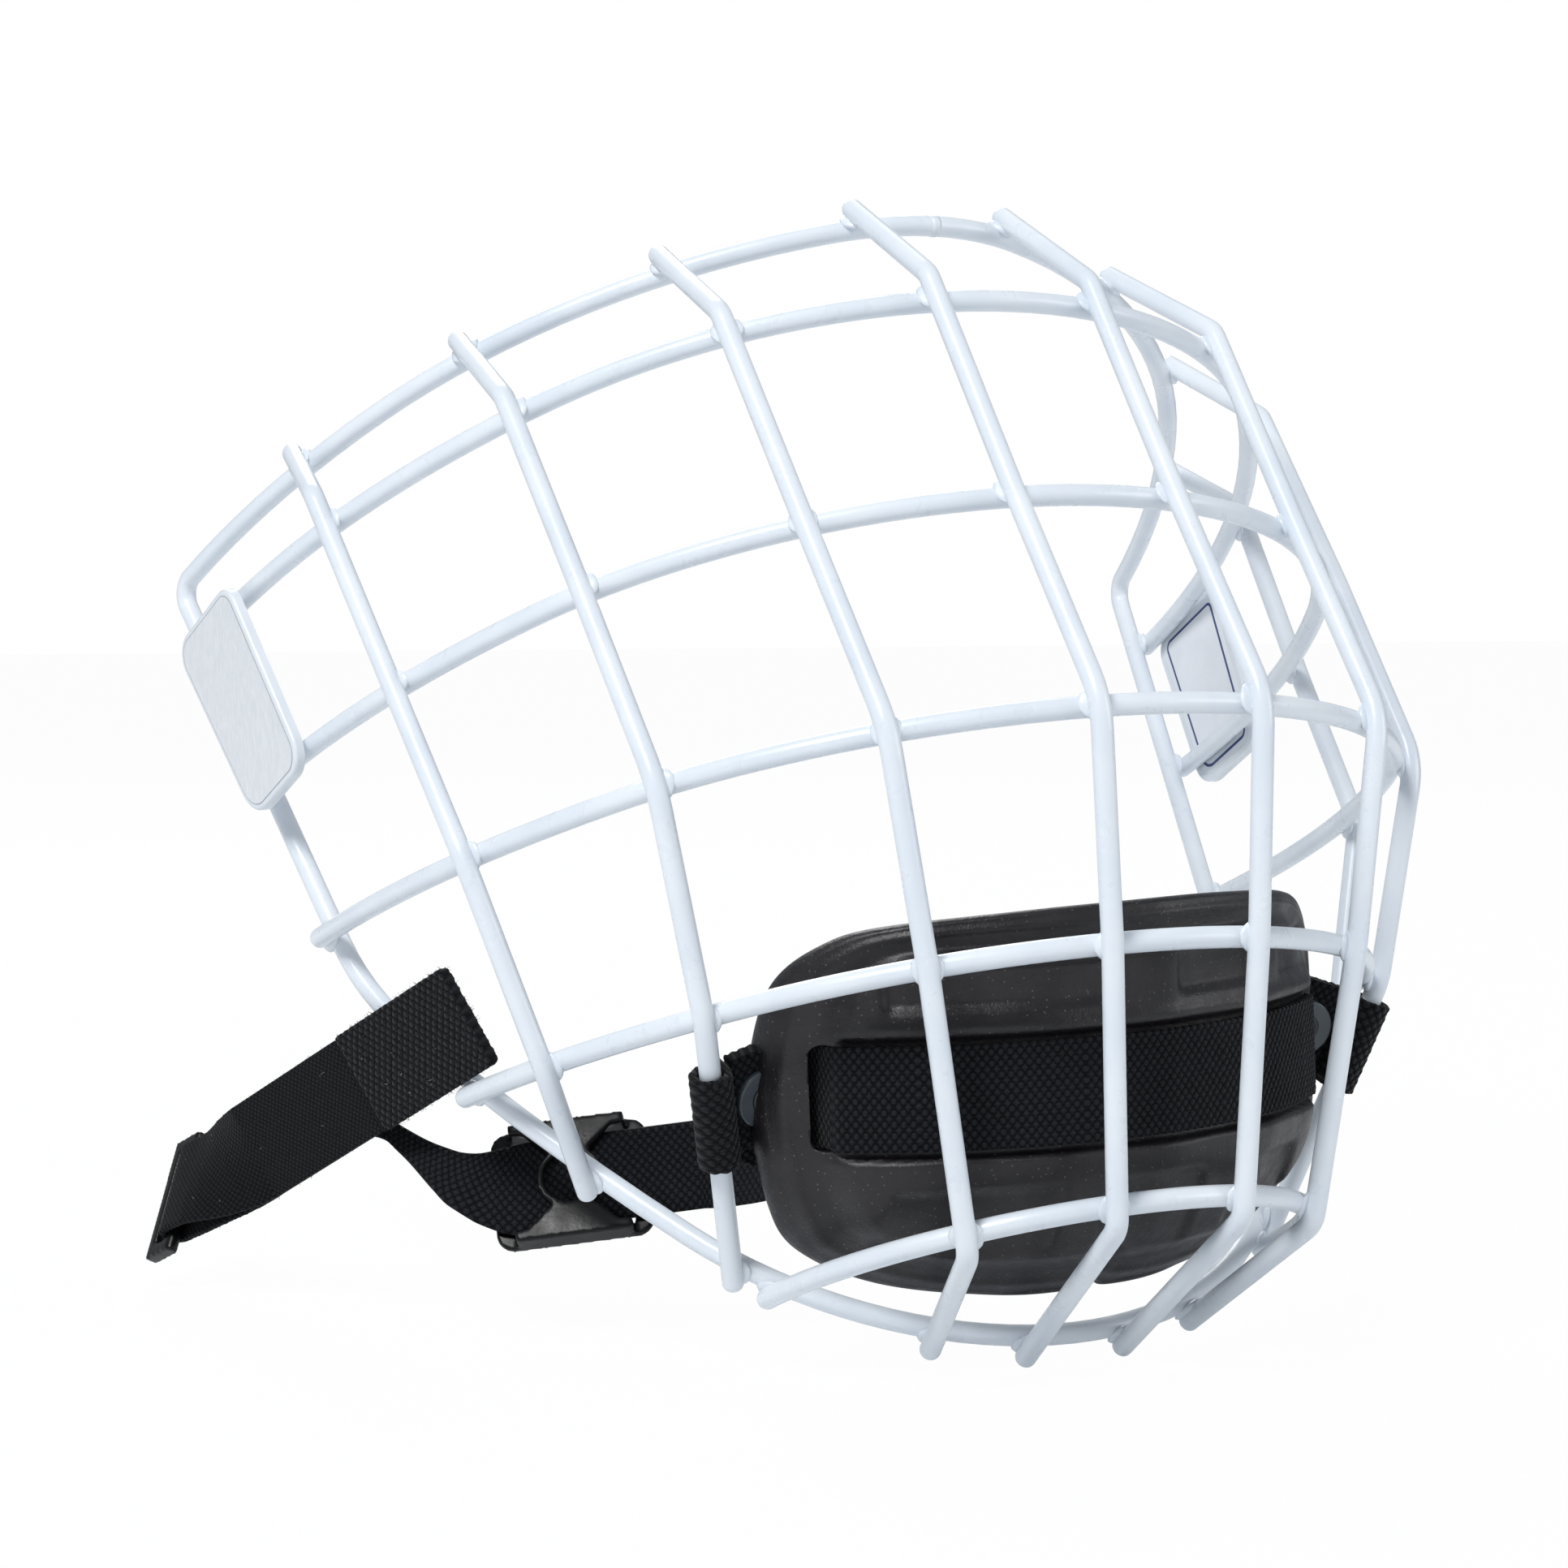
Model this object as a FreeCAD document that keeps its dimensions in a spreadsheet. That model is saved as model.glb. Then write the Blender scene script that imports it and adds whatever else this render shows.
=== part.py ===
"""Wire-cage face mask: a welded wire cage with chin cup, chin webbing and one side strap.

Frame: millimetres. X = 0 is the mask's middle plane and +X the wearer's left, +Y runs from the
front of the mask to its back, +Z is up. The origin is the middle of the brow wire, which the
helmet carries, so nearly all of the mask lies below it.
"""
import FreeCAD, Part
import math
import os

from FreeCAD import Placement, Rotation, Vector

doc = FreeCAD.newDocument("cage_mask")
sheet = doc.addObject("Spreadsheet::Sheet", "Sizes")

# Driving dimensions: alias, value. Lengths in millimetres, angles in degrees.
SIZES = [
    ("wire_radius", 1.7), ("weld_set", 0.3), ("wire_end_round", 1.3),
    ("bar_overhang", 1.6), ("upright_overhang", 2.6), ("top_bend_radius", 4.5),
    ("low_bend_radius", 4.0), ("soft_bend_radius", 14.0), ("slight_bend_radius", 60.0),
    # rim: brow curve, jaw curve and the straight leg between them
    ("brow_rake", 32.5),
    ("brow_nose_radius", 50.0), ("brow_nose_angle", 20.0),
    ("brow_mid_radius", 115.0), ("brow_mid_angle", 62.0),
    ("brow_end_x", 97.5), ("brow_end_y", 91.0), ("temple_corner", 4.2),
    ("jaw_front_y", -44.6), ("jaw_front_z", -177.1), ("jaw_rise", 31.0),
    ("jaw_nose_radius", 63.6), ("jaw_nose_angle", 59.0),
    ("jaw_end_x", 82.3), ("jaw_end_y", 30.5), ("jaw_corner", 10.5),
    # side plates
    ("plate_thickness", 1.8), ("plate_gap", 0.1), ("plate_top_margin", 1.2),
    ("plate_bottom_margin", 6.0), ("plate_rear_top", 2.7), ("plate_rear_bottom", 6.3),
    ("plate_width_top", 25.2), ("plate_width_bottom", 22.5),
    ("plate_corner_small", 4.5), ("plate_corner_large", 7.0), ("plate_edge_round", 0.6),
    # chin cup, in a frame of its own that hangs lower on the right: its origin lies on the
    # cup's upright centre-line at the webbing's middle height
    ("cup_axis_y", -0.5), ("cup_axis_z", -135.3), ("cup_tilt", 2.4),
    ("cup_radius", 64.6), ("cup_wall", 3.2), ("cup_sweep", 107.0),
    ("cup_top", 26.8), ("cup_bottom", 33.4), ("cup_bottom_radius", 50.5),
    ("lip_stand", 1.0), ("lip_height", 2.6), ("groove_depth", 1.6), ("groove_middle", 19.6),
    ("groove_height", 2.4), ("ridge_middle", 16.6), ("ridge_height", 1.6),
    ("panel_depth", 0.7), ("band_height", 5.0), ("channel_depth", 1.3),
    ("channel_clearance", 0.4), ("cup_half_width", 53.0), ("cup_top_half", 43.5),
    ("cup_top_corner", 24.8), ("cup_low_half", 38.0), ("cup_low_corner", 28.3),
    ("cup_side_up", 14.0), ("cup_side_down", 12.0), ("cup_side_in", 1.2),
    ("cup_slot_x", 44.5), ("cup_slot_width", 3.4), ("cup_slot_play", 0.8),
    # webbing of the chin cup and its loops
    ("webbing_width", 16.0), ("webbing_thickness", 1.3), ("webbing_play", 0.15),
    ("webbing_sweep", 41.2), ("loop_drop", 2.7), ("loop_play", 0.35), ("loop_neck", 3.7),
    ("loop_gap", 0.5), ("fold_end", 13.5), ("fold_slope_right", -0.04), ("fold_slope_left", -0.16), ("layer_gap", 0.1),
    ("block_hair", 0.03),
    ("snap_place", 9.1), ("snap_radius", 4.8), ("snap_thickness", 0.9),
    ("snap_hole_radius", 2.4), ("snap_hole_depth", 0.6), ("snap_edge", 0.4),
    # side strap: sewn patch, swing line and the straight stretch under the slider
    ("patch_start", 8.0), ("patch_end", 17.2), ("patch_lean", 29.0), ("patch_drop", 4.3),
    ("swing_gap", 0.35), ("slider_x", -59.9), ("slider_y", 14.0), ("slider_z", -156.8),
    ("slider_way_x", -0.883), ("slider_way_y", 0.469), ("slider_way_z", -0.13),
    ("slider_tilt", 34.0), ("straight_fore", 19.7), ("straight_aft", 17.5),
    # slider
    ("slider_length", 26.0), ("slider_height", 21.0), ("slider_bar", 3.2),
    ("slider_rail", 1.9), ("slider_layer", 1.3), ("slider_play", 0.35),
    ("slider_middle", 9.6), ("slider_ring_radius", 5.5), ("slider_hole_radius", 4.4),
    ("slider_corner", 3.0),
    # elastic band with its hook tab, and the plastic end loop
    ("band_width", 17.0), ("band_thickness", 1.2), ("tab_width", 17.6), ("tab_thickness", 1.9),
    ("tab_length", 29.4), ("tab_skew", 1.3), ("tab_corner", 1.2), ("tab_gap", 0.35),
    ("ring_bar_radius", 1.2), ("ring_play", 0.4), ("ring_far", 4.9), ("ring_far_half", 1.2),
    ("ring_end", 2.4), ("ring_end_play", 0.6),
]
# Free end of the side strap's hook tab and the directions of its face: along, up, outwards.
TAB_BASE = Vector(-79.3, 10.2, -128.0)
TAB_ALONG = Vector(-0.280, 0.847, -0.452)
TAB_UP = Vector(-0.377, 0.336, 0.863)
# Where the band ends at the ring, and its directions there.
RING_BASE = Vector(-102.0, 83.5, -165.6)
RING_ALONG = Vector(-0.186, 0.904, -0.379)
RING_UP = Vector(0.406, 0.421, 0.805)
# Horizontal bars: front point, rake, nose radius and half-angle, nominal end.
BARS = {
    1: (-25.1, -14.1, 27.6, 83.0, 54.0, 98.5, 81.9),
    2: (-48.2, -45.5, 23.5, 83.1, 64.0, 95.1, 61.0),
    3: (-72.0, -77.0, 19.2, 79.4, 65.0, 88.9, 44.3),
    4: (-73.7, -112.3, 18.5, 66.7, 58.0, 74.2, 15.6),
    5: (-72.8, -151.7, 23.0, 45.7, 33.0, 43.9, -32.3),
}
BAR_FIELDS = ("front_y", "front_z", "rake", "nose_radius", "nose_angle", "end_x", "end_y")
for number, values in BARS.items():
    SIZES += [(f"bar{number}_{field}", value) for field, value in zip(BAR_FIELDS, values)]
# Uprights of the left half, outermost first: each lies in a plane through (x, y, z) that
# leans by the two slopes. The right half mirrors them.
UPRIGHTS = {
    1: (84.8, -0.7, -103.0, 0.336, 0.389, 5.0),
    2: (69.7, -37.1, -89.6, 0.199, 0.214, 2.2),
    3: (44.4, -63.3, -80.6, 0.173, 0.169, 2.5),
    4: (14.6, -74.8, -76.6, 0.045, 0.041, 3.3),
}
UPRIGHT_FIELDS = ("place_x", "place_y", "place_z", "slope_y", "slope_z", "top_rise")
for number, values in UPRIGHTS.items():
    SIZES += [(f"upright{number}_{field}", value) for field, value in zip(UPRIGHT_FIELDS, values)]
SIZES += [("upright_low_drop", 2.8)]

for row, (alias, value) in enumerate(SIZES, start=1):
    sheet.set(f"A{row}", alias)
    sheet.set(f"B{row}", str(value))
    sheet.setAlias(f"B{row}", alias)
doc.recompute()


def size(alias):
    return float(sheet.get(alias))


def bind(thing, prop, expression):
    thing.setExpression(prop, expression)


def unit(vector):
    return Vector(vector).normalize()


def rise(angle):
    return math.tan(math.radians(angle))


CROSSING = 2 * size("wire_radius") - size("weld_set")
parts = []


def origin_plane(body, role):
    return next(f for f in body.Origin.OriginFeatures if f.Role == role)


def new_body(name, placement=None):
    body = doc.addObject("PartDesign::Body", name)
    body.Label = name
    if placement is not None:
        body.Placement = placement
    parts.append(body)
    return body


def sketch_on(body, role, name, placement=None):
    sketch = body.newObject("Sketcher::SketchObject", name)
    sketch.AttachmentSupport = [(origin_plane(body, role), "")]
    sketch.MapMode = "FlatFace"
    if placement is not None:
        sketch.AttachmentOffset = placement
    return sketch


# ---------------------------------------------------------------- centre-lines


def arc_from(start, heading, radius, turn):
    """Arc edge in the XY plane that leaves start along heading (degrees) and turns left."""
    first = math.radians(heading)
    middle = math.radians(heading + turn / 2)
    last = math.radians(heading + turn)

    def place(angle):
        along = radius * (math.sin(angle) - math.sin(first))
        aside = radius * (math.cos(first) - math.cos(angle))
        return start + Vector(along, aside, 0)

    return Part.Arc(start, place(middle), place(last)), place(last)


def half_curve(noses, end):
    """Right half of a nose curve: tangent arcs from the origin, then one arc to end."""
    point = Vector(0, 0, 0)
    heading = 0.0
    arcs = []
    for radius, angle in noses:
        arc, point = arc_from(point, heading, radius, angle - heading)
        arcs.append(arc)
        heading = angle
    chord = end - point
    swing = math.degrees(math.atan2(chord.y, chord.x)) - heading
    radius = chord.Length / (2 * math.sin(math.radians(swing)))
    arc, point = arc_from(point, heading, radius, 2 * swing)
    arcs.append(arc)
    return arcs, heading + 2 * swing


def raked(front_y, front_z, rake):
    """Placement of a curve's own plane: through its front point and falling to the back."""
    return Placement(Vector(0, front_y, front_z), Rotation(Vector(1, 0, 0), -rake))


def crossing_points(wire, normal, level):
    """Points and tangents of wire in the plane normal . p = level."""
    found = []
    for edge in wire.Edges:
        low, high = edge.ParameterRange
        steps = 12
        marks = [low + (high - low) * k / steps for k in range(steps + 1)]
        for a, b in zip(marks, marks[1:]):
            side_a = edge.valueAt(a).dot(normal) - level
            side_b = edge.valueAt(b).dot(normal) - level
            if side_a * side_b > 0 or side_a == side_b:
                continue
            for _ in range(40):
                mid = (a + b) / 2
                side = edge.valueAt(mid).dot(normal) - level
                if side * side_a > 0:
                    a, side_a = mid, side
                else:
                    b = mid
            found.append((edge.valueAt(a), unit(edge.tangentAt(a))))
    return found


def nearest(found, point):
    return min(found, key=lambda hit: hit[0].distanceToPoint(point))


def laid_over(wire, normal, level, direction, near, inside):
    """Point of a wire that lies on another one, in its own plane and welded to its outside.

    wire is the one underneath, direction the upper wire's own, inside a point within the cage.
    """
    lift = Vector(0, 0, 0)
    for _ in range(6):
        hits = crossing_points(wire, normal, level - lift.dot(normal))
        point, tangent = nearest(hits, near)
        lift = unit(tangent.cross(direction)) * CROSSING
        if lift.dot(point - inside) < 0:
            lift = -lift
    return point + lift


def bent(points, radii):
    """Edges of a straight run through points with an arc of its radius at each inner point."""
    edges = []
    here = points[0]
    for before, corner, after, radius in zip(points, points[1:], points[2:], radii):
        come = unit(corner - before)
        leave = unit(after - corner)
        turn = math.acos(max(-1.0, min(1.0, come.dot(leave))))
        cut = radius * math.tan(turn / 2)
        first = corner - come * cut
        last = corner + leave * cut
        inward = unit(leave - come)
        middle = corner + inward * (radius / math.cos(turn / 2) - radius)
        edges.append(Part.LineSegment(here, first).toShape())
        edges.append(Part.Arc(first, middle, last).toShape())
        here = last
    edges.append(Part.LineSegment(here, points[-1]).toShape())
    return edges


INSIDE = Vector(0, 15, -92)
MIRROR = Vector(-1, 1, 1)


def mirrored(point):
    return Vector(-point.x, point.y, point.z)


# ---------------------------------------------------------------- rim


def rim_half():
    """Centre-line edges of the rim's left half, from the brow's middle to the chin's."""
    brow = raked(0, 0, size("brow_rake"))
    depth = size("brow_end_y") / math.cos(math.radians(size("brow_rake")))
    noses = [(size("brow_nose_radius"), size("brow_nose_angle")),
             (size("brow_mid_radius"), size("brow_mid_angle"))]
    brow_arcs, _ = half_curve(noses, Vector(size("brow_end_x"), depth, 0))
    jaw = raked(size("jaw_front_y"), size("jaw_front_z"), -size("jaw_rise"))
    reach = (size("jaw_end_y") - size("jaw_front_y")) / math.cos(math.radians(size("jaw_rise")))
    noses = [(size("jaw_nose_radius"), size("jaw_nose_angle"))]
    jaw_arcs, _ = half_curve(noses, Vector(size("jaw_end_x"), reach, 0))
    brow_edges = [placed(arc, brow) for arc in brow_arcs]
    jaw_edges = [placed(arc, jaw) for arc in jaw_arcs]
    return brow_edges, jaw_edges


def placed(arc, placement):
    edge = arc.toShape()
    edge.Placement = placement
    return edge


def end_and_heading(edge):
    last = edge.LastParameter
    return edge.valueAt(last), unit(edge.tangentAt(last))


def rim_edges():
    brow_edges, jaw_edges = rim_half()
    brow_end, brow_way = end_and_heading(brow_edges[-1])
    jaw_end, jaw_way = end_and_heading(jaw_edges[-1])
    temple = brow_end + brow_way * size("temple_corner")
    cheek = jaw_end + jaw_way * size("jaw_corner")
    leg = unit(cheek - temple)

    def corner_arc(start, corner, way_in, way_out, cut):
        turn = math.acos(way_in.dot(way_out))
        radius = cut / math.tan(turn / 2)
        middle = corner + unit(way_out - way_in) * (radius / math.cos(turn / 2) - radius)
        return Part.Arc(start, middle, corner + way_out * cut).toShape()

    upper = corner_arc(brow_end, temple, brow_way, leg, size("temple_corner"))
    lower = corner_arc(cheek - leg * size("jaw_corner"), cheek, leg, -jaw_way, size("jaw_corner"))
    straight = Part.LineSegment(temple + leg * size("temple_corner"),
                                cheek - leg * size("jaw_corner")).toShape()
    return brow_edges + [upper, straight, lower] + jaw_edges[::-1]


RIM_WIRE = Part.Wire(Part.__sortEdges__(rim_edges()))
rim_path = doc.addObject("Part::Feature", "rim_path")
rim_path.Shape = RIM_WIRE
rim_profile = doc.addObject("Part::Circle", "rim_profile")
bind(rim_profile, "Radius", "Sizes.wire_radius")
rim_profile.Placement = Placement(Vector(0, 0, 0), Rotation(Vector(0, 0, 1), Vector(1, 0, 0)))
rim_sweep = doc.addObject("Part::Sweep", "rim_left_half")
rim_sweep.Sections = [rim_profile]
rim_sweep.Spine = (rim_path, [f"Edge{k + 1}" for k in range(len(RIM_WIRE.Edges))])
rim_sweep.Solid = True
rim_sweep.Frenet = False
rim_mirror = doc.addObject("Part::Mirroring", "rim_right_half")
rim_mirror.Source = rim_sweep
rim_mirror.Normal = Vector(1, 0, 0)
rim = doc.addObject("Part::Fuse", "rim")
rim.Base = rim_sweep
rim.Tool = rim_mirror
rim.Refine = True
rim.Label = "rim"
parts.append(rim)


# ---------------------------------------------------------------- horizontal bars


def wire_body(name, placement, edges):
    """Body of coated wire that follows planar edges, given in the body's own XY plane."""
    body = new_body(name, placement)
    path = sketch_on(body, "XY_Plane", f"{name}_path")
    for edge in edges:
        curve = edge.Curve
        if isinstance(curve, Part.Circle):
            path.addGeometry(Part.Arc(edge.valueAt(edge.FirstParameter),
                                      edge.valueAt((edge.FirstParameter + edge.LastParameter) / 2),
                                      edge.valueAt(edge.LastParameter)))
        else:
            path.addGeometry(Part.LineSegment(edge.valueAt(edge.FirstParameter),
                                              edge.valueAt(edge.LastParameter)))
    start = edges[0].valueAt(edges[0].FirstParameter)
    way = unit(edges[0].tangentAt(edges[0].FirstParameter))
    across = Placement(start, Rotation(way.cross(Vector(0, 0, 1)), Vector(0, 0, 1), way))
    profile = body.newObject("Sketcher::SketchObject", f"{name}_section")
    profile.AttachmentSupport = [(origin_plane(body, "XY_Plane"), "")]
    profile.MapMode = "FlatFace"
    profile.AttachmentOffset = across
    import Sketcher
    profile.addGeometry(Part.Circle(Vector(0, 0, 0), Vector(0, 0, 1), size("wire_radius")))
    profile.addConstraint(Sketcher.Constraint("Coincident", 0, 3, -1, 1))
    radius = profile.addConstraint(Sketcher.Constraint("Radius", 0, size("wire_radius")))
    profile.setExpression(f"Constraints[{radius}]", "Sizes.wire_radius")
    pipe = body.newObject("PartDesign::AdditivePipe", f"{name}_wire")
    pipe.Profile = profile
    pipe.Spine = (path, [])
    doc.recompute()
    ends = [start, edges[-1].valueAt(edges[-1].LastParameter)]
    rings = []
    for k, edge in enumerate(pipe.Shape.Edges, start=1):
        if edge.isClosed() and min(edge.CenterOfMass.distanceToPoint(end) for end in ends) < 0.01:
            rings.append(f"Edge{k}")
    cap = body.newObject("PartDesign::Fillet", f"{name}_caps")
    cap.Base = (pipe, rings)
    bind(cap, "Radius", "Sizes.wire_end_round")
    return body


bar_wires = {}
bar_ends = {}


def horizontal_bar(number):
    """One cross wire: nose arc, two side arcs and short straight ends laid over the rim."""
    front_y, front_z, rake, nose_radius, nose_angle, end_x, end_y = (
        size(f"bar{number}_{field}") for field in BAR_FIELDS)
    plane = raked(front_y, front_z, rake)
    normal = plane.Rotation.multVec(Vector(0, 0, 1))
    level = normal.dot(plane.Base)
    end = Vector(end_x, (end_y - front_y) / math.cos(math.radians(rake)), 0)
    for _ in range(6):
        arcs, heading = half_curve([(nose_radius, nose_angle)], end)
        way = Vector(math.cos(math.radians(heading)), math.sin(math.radians(heading)), 0)
        upper = laid_over(RIM_WIRE, normal, level, plane.Rotation.multVec(way),
                          plane.multVec(end), INSIDE)
        end = plane.inverse().multVec(upper)
        end.z = 0
    tip = end + way * size("bar_overhang")
    nose, _ = arc_from(Vector(0, 0, 0), 0, nose_radius, nose_angle)
    shoulder = Vector(nose_radius * math.sin(math.radians(nose_angle)),
                      nose_radius * (1 - math.cos(math.radians(nose_angle))), 0)
    full_nose = Part.Arc(mirrored(shoulder), Vector(0, 0, 0), shoulder)
    side = arcs[-1].toShape()
    middle = side.valueAt((side.FirstParameter + side.LastParameter) / 2)
    edges = [
        Part.LineSegment(mirrored(tip), mirrored(end)).toShape(),
        Part.Arc(mirrored(end), mirrored(middle), mirrored(shoulder)).toShape(),
        full_nose.toShape(),
        Part.Arc(shoulder, middle, end).toShape(),
        Part.LineSegment(end, tip).toShape(),
    ]
    wire_body(f"horizontal_bar_{number}", plane, edges)
    world = Part.Wire(edges)
    world.Placement = plane
    bar_wires[number] = world
    bar_ends[number] = (plane.multVec(end), plane.Rotation.multVec(way))


for number in BARS:
    horizontal_bar(number)


# ---------------------------------------------------------------- uprights


def upright_run(number):
    """Plane of one upright and its points: tips, bends and the crossings that it passes."""
    place = Vector(size(f"upright{number}_place_x"), size(f"upright{number}_place_y"),
                   size(f"upright{number}_place_z"))
    normal = unit(Vector(1, size(f"upright{number}_slope_y"), -size(f"upright{number}_slope_z")))
    level = normal.dot(place)
    crossed = [bar_wires[k] for k in BARS if k <= LOWEST_BAR[number]]
    under = [RIM_WIRE] + crossed + [RIM_WIRE]
    rim_hits = [point for point, _ in crossing_points(RIM_WIRE, normal, level)]
    guesses = [max(rim_hits, key=lambda point: point.z)]
    for wire in crossed:
        hits = [point for point, _ in crossing_points(wire, normal, level)]
        guesses.append(min(hits, key=lambda point: point.y))
    guesses.append(min(rim_hits, key=lambda point: point.z))
    run = list(guesses)
    for _ in range(5):
        top = run[1] + unit(run[1] - run[2]) * size(f"upright{number}_top_rise")
        low = run[-2]
        if LOWEST_BAR[number] == 5:
            low = run[-2] + unit(run[-2] - run[-3]) * size("upright_low_drop")
        ways = [unit(b - a) for a, b in zip(run, run[1:])]
        along = [unit(top - run[0])] + [unit(a + b) for a, b in zip(ways, ways[1:])]
        along.append(unit(run[-1] - low))
        along[1] = ways[1]
        if LOWEST_BAR[number] == 5:
            along[-2] = ways[-2]
        run = [laid_over(wire, normal, level, way, guess, INSIDE)
               for wire, way, guess in zip(under, along, guesses)]
    overhang = size("upright_overhang")
    first_tip = run[0] + unit(run[0] - top) * overhang
    last_tip = run[-1] + unit(run[-1] - low) * overhang
    passed = run[2:-1]
    if LOWEST_BAR[number] == 5:
        passed = run[2:-2]
        return place, normal, first_tip, top, passed, low, last_tip
    return place, normal, first_tip, top, passed, None, last_tip


def turn_at(before, corner, after):
    return math.acos(max(-1.0, min(1.0, unit(corner - before).dot(unit(after - corner)))))


def upright_edges(points, free):
    """Bent edges through points. The free ones are corners, the others lie on the arcs."""
    corners = list(points)
    radii = [0.0] * len(points)
    for _ in range(4):
        for k in range(1, len(points) - 1):
            turn = turn_at(corners[k - 1], corners[k], corners[k + 1])
            if k in free:
                radii[k] = free[k]
                continue
            radii[k] = size("soft_bend_radius") if turn > SLIGHT_TURN else size("slight_bend_radius")
            inward = unit(unit(corners[k + 1] - corners[k]) - unit(corners[k] - corners[k - 1]))
            corners[k] = points[k] - inward * (radii[k] / math.cos(turn / 2) - radii[k])
    return bent(corners, radii[1:-1])


upright_wires = {}
LOWEST_BAR = {1: 4, 2: 4, 3: 5, 4: 5}
SLIGHT_TURN = math.radians(8)


def upright(number, side, name):
    """One bent upright, welded over bars and rim: side 1 is the left half, -1 its mirror."""
    place, normal, first_tip, top, passed, low, last_tip = upright_run(number)
    points = [first_tip, top] + passed + ([low] if low else []) + [last_tip]
    free = {1: size("top_bend_radius")}
    if low:
        free[len(points) - 2] = size("low_bend_radius")
    if side < 0:
        points = [mirrored(point) for point in points]
        place = mirrored(place)
        normal = mirrored(normal)
    up = unit(Vector(0, 0, 1) - normal * normal.z)
    plane = Placement(place, Rotation(up.cross(normal), up, normal))
    flat = [plane.inverse().multVec(point) for point in points]
    for point in flat:
        point.z = 0
    edges = upright_edges(flat, free)
    wire_body(name, plane, edges)
    world = Part.Wire(edges)
    world.Placement = plane
    upright_wires[name] = world


for number in UPRIGHTS:
    upright(number, -1, f"vertical_bar_{number}")
    upright(number, 1, f"vertical_bar_{9 - number}")



# ---------------------------------------------------------------- side plates


def plate_plane():
    """Placement of the left plate: X back along the temple wires, Y up, Z outwards."""
    upper, way = bar_ends[1]
    lower, _ = bar_ends[2]
    outward = unit(way.cross(upper - lower))
    if outward.x < 0:
        outward = -outward
    base = (upper + lower) * 0.5 + outward * (size("wire_radius") + size("plate_gap"))
    up = unit(outward.cross(way))
    if up.z < 0:
        up = -up
    return Placement(base, Rotation(up.cross(outward), up, outward))


def plate_corners(plane):
    """Corners of the plate in its own plane, set out from the two wires that it covers."""
    upper = plane.inverse().multVec(bar_ends[1][0])
    lower = plane.inverse().multVec(bar_ends[2][0])
    top = upper.y + size("plate_top_margin")
    bottom = lower.y - size("plate_bottom_margin")
    rear_top = size("plate_rear_top")
    rear_bottom = -size("plate_rear_bottom")
    return [(rear_top, top, "plate_corner_small"),
            (rear_top - size("plate_width_top"), top, "plate_corner_small"),
            (rear_bottom - size("plate_width_bottom"), bottom, "plate_corner_small"),
            (rear_bottom, bottom, "plate_corner_large")]


def rounded_outline(corners):
    """Closed outline with an arc of its own radius at each corner."""
    count = len(corners)
    points = [Vector(x, y, 0) for x, y, _ in corners]
    shapes = []
    joints = []
    for k in range(count):
        come = unit(points[k] - points[k - 1])
        leave = unit(points[(k + 1) % count] - points[k])
        turn = math.acos(come.dot(leave))
        radius = size(corners[k][2])
        cut = radius * math.tan(turn / 2)
        middle = points[k] + unit(leave - come) * (radius / math.cos(turn / 2) - radius)
        joints.append((points[k] - come * cut, middle, points[k] + leave * cut))
    for k in range(count):
        first, middle, last = joints[k]
        shapes.append(Part.Arc(first, middle, last))
        shapes.append(Part.LineSegment(last, joints[(k + 1) % count][0]))
    return shapes


def side_plate(name, side):
    plane = plate_plane()
    corners = plate_corners(plane)
    if side < 0:
        turn = plane.Rotation
        right_y = mirrored(turn.multVec(Vector(0, 1, 0)))
        right_z = mirrored(turn.multVec(Vector(0, 0, 1)))
        plane = Placement(mirrored(plane.Base), Rotation(right_y.cross(right_z), right_y, right_z))
        corners = [(-x, y, radius) for x, y, radius in corners[::-1]]
    body = new_body(name, plane)
    sketch = sketch_on(body, "XY_Plane", f"{name}_outline")
    for shape in rounded_outline(corners):
        sketch.addGeometry(shape)
    pad = body.newObject("PartDesign::Pad", f"{name}_pad")
    pad.Profile = sketch
    bind(pad, "Length", "Sizes.plate_thickness")
    doc.recompute()
    rims = [f"Edge{k}" for k, edge in enumerate(pad.Shape.Edges, start=1)
            if abs(edge.CenterOfMass.z - size("plate_thickness")) < 0.001]
    edge_round = body.newObject("PartDesign::Fillet", f"{name}_edge")
    edge_round.Base = (pad, rims)
    bind(edge_round, "Radius", "Sizes.plate_edge_round")


side_plate("side_plate_right", -1)
side_plate("side_plate_left", 1)


# ---------------------------------------------------------------- chin cup

CUP = Placement(Vector(0, size("cup_axis_y"), size("cup_axis_z")),
                Rotation(Vector(0, 1, 0), -size("cup_tilt")))


def cup_outline():
    """Cross-section of the shell at its middle: radius and height, from the inner top round."""
    outer = size("cup_radius")
    inner = outer - size("cup_wall")
    top = size("cup_top")
    lip = outer + size("lip_stand")
    groove = outer - size("groove_depth")
    panel = outer - size("panel_depth")
    half_webbing = size("webbing_width") / 2 + size("channel_clearance")
    channel = outer - size("channel_depth")
    band = half_webbing + size("band_height")
    slope = size("groove_depth") / 4
    groove_top = size("groove_middle") + size("groove_height") / 2
    groove_low = size("groove_middle") - size("groove_height") / 2
    ridge_top = size("ridge_middle") + size("ridge_height") / 2
    ridge_low = size("ridge_middle") - size("ridge_height") / 2
    return [
        (inner, top), (lip, top), (lip, top - size("lip_height")),
        (outer, top - size("lip_height") - slope), (outer, groove_top + slope),
        (groove, groove_top), (groove, groove_low), (outer, ridge_top), (outer, ridge_low),
        (panel, ridge_low - slope), (panel, band + slope), (outer, band),
        (outer, half_webbing), (channel, half_webbing - slope),
        (channel, -half_webbing + slope), (outer, -half_webbing), (outer, -band),
    ]


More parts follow.
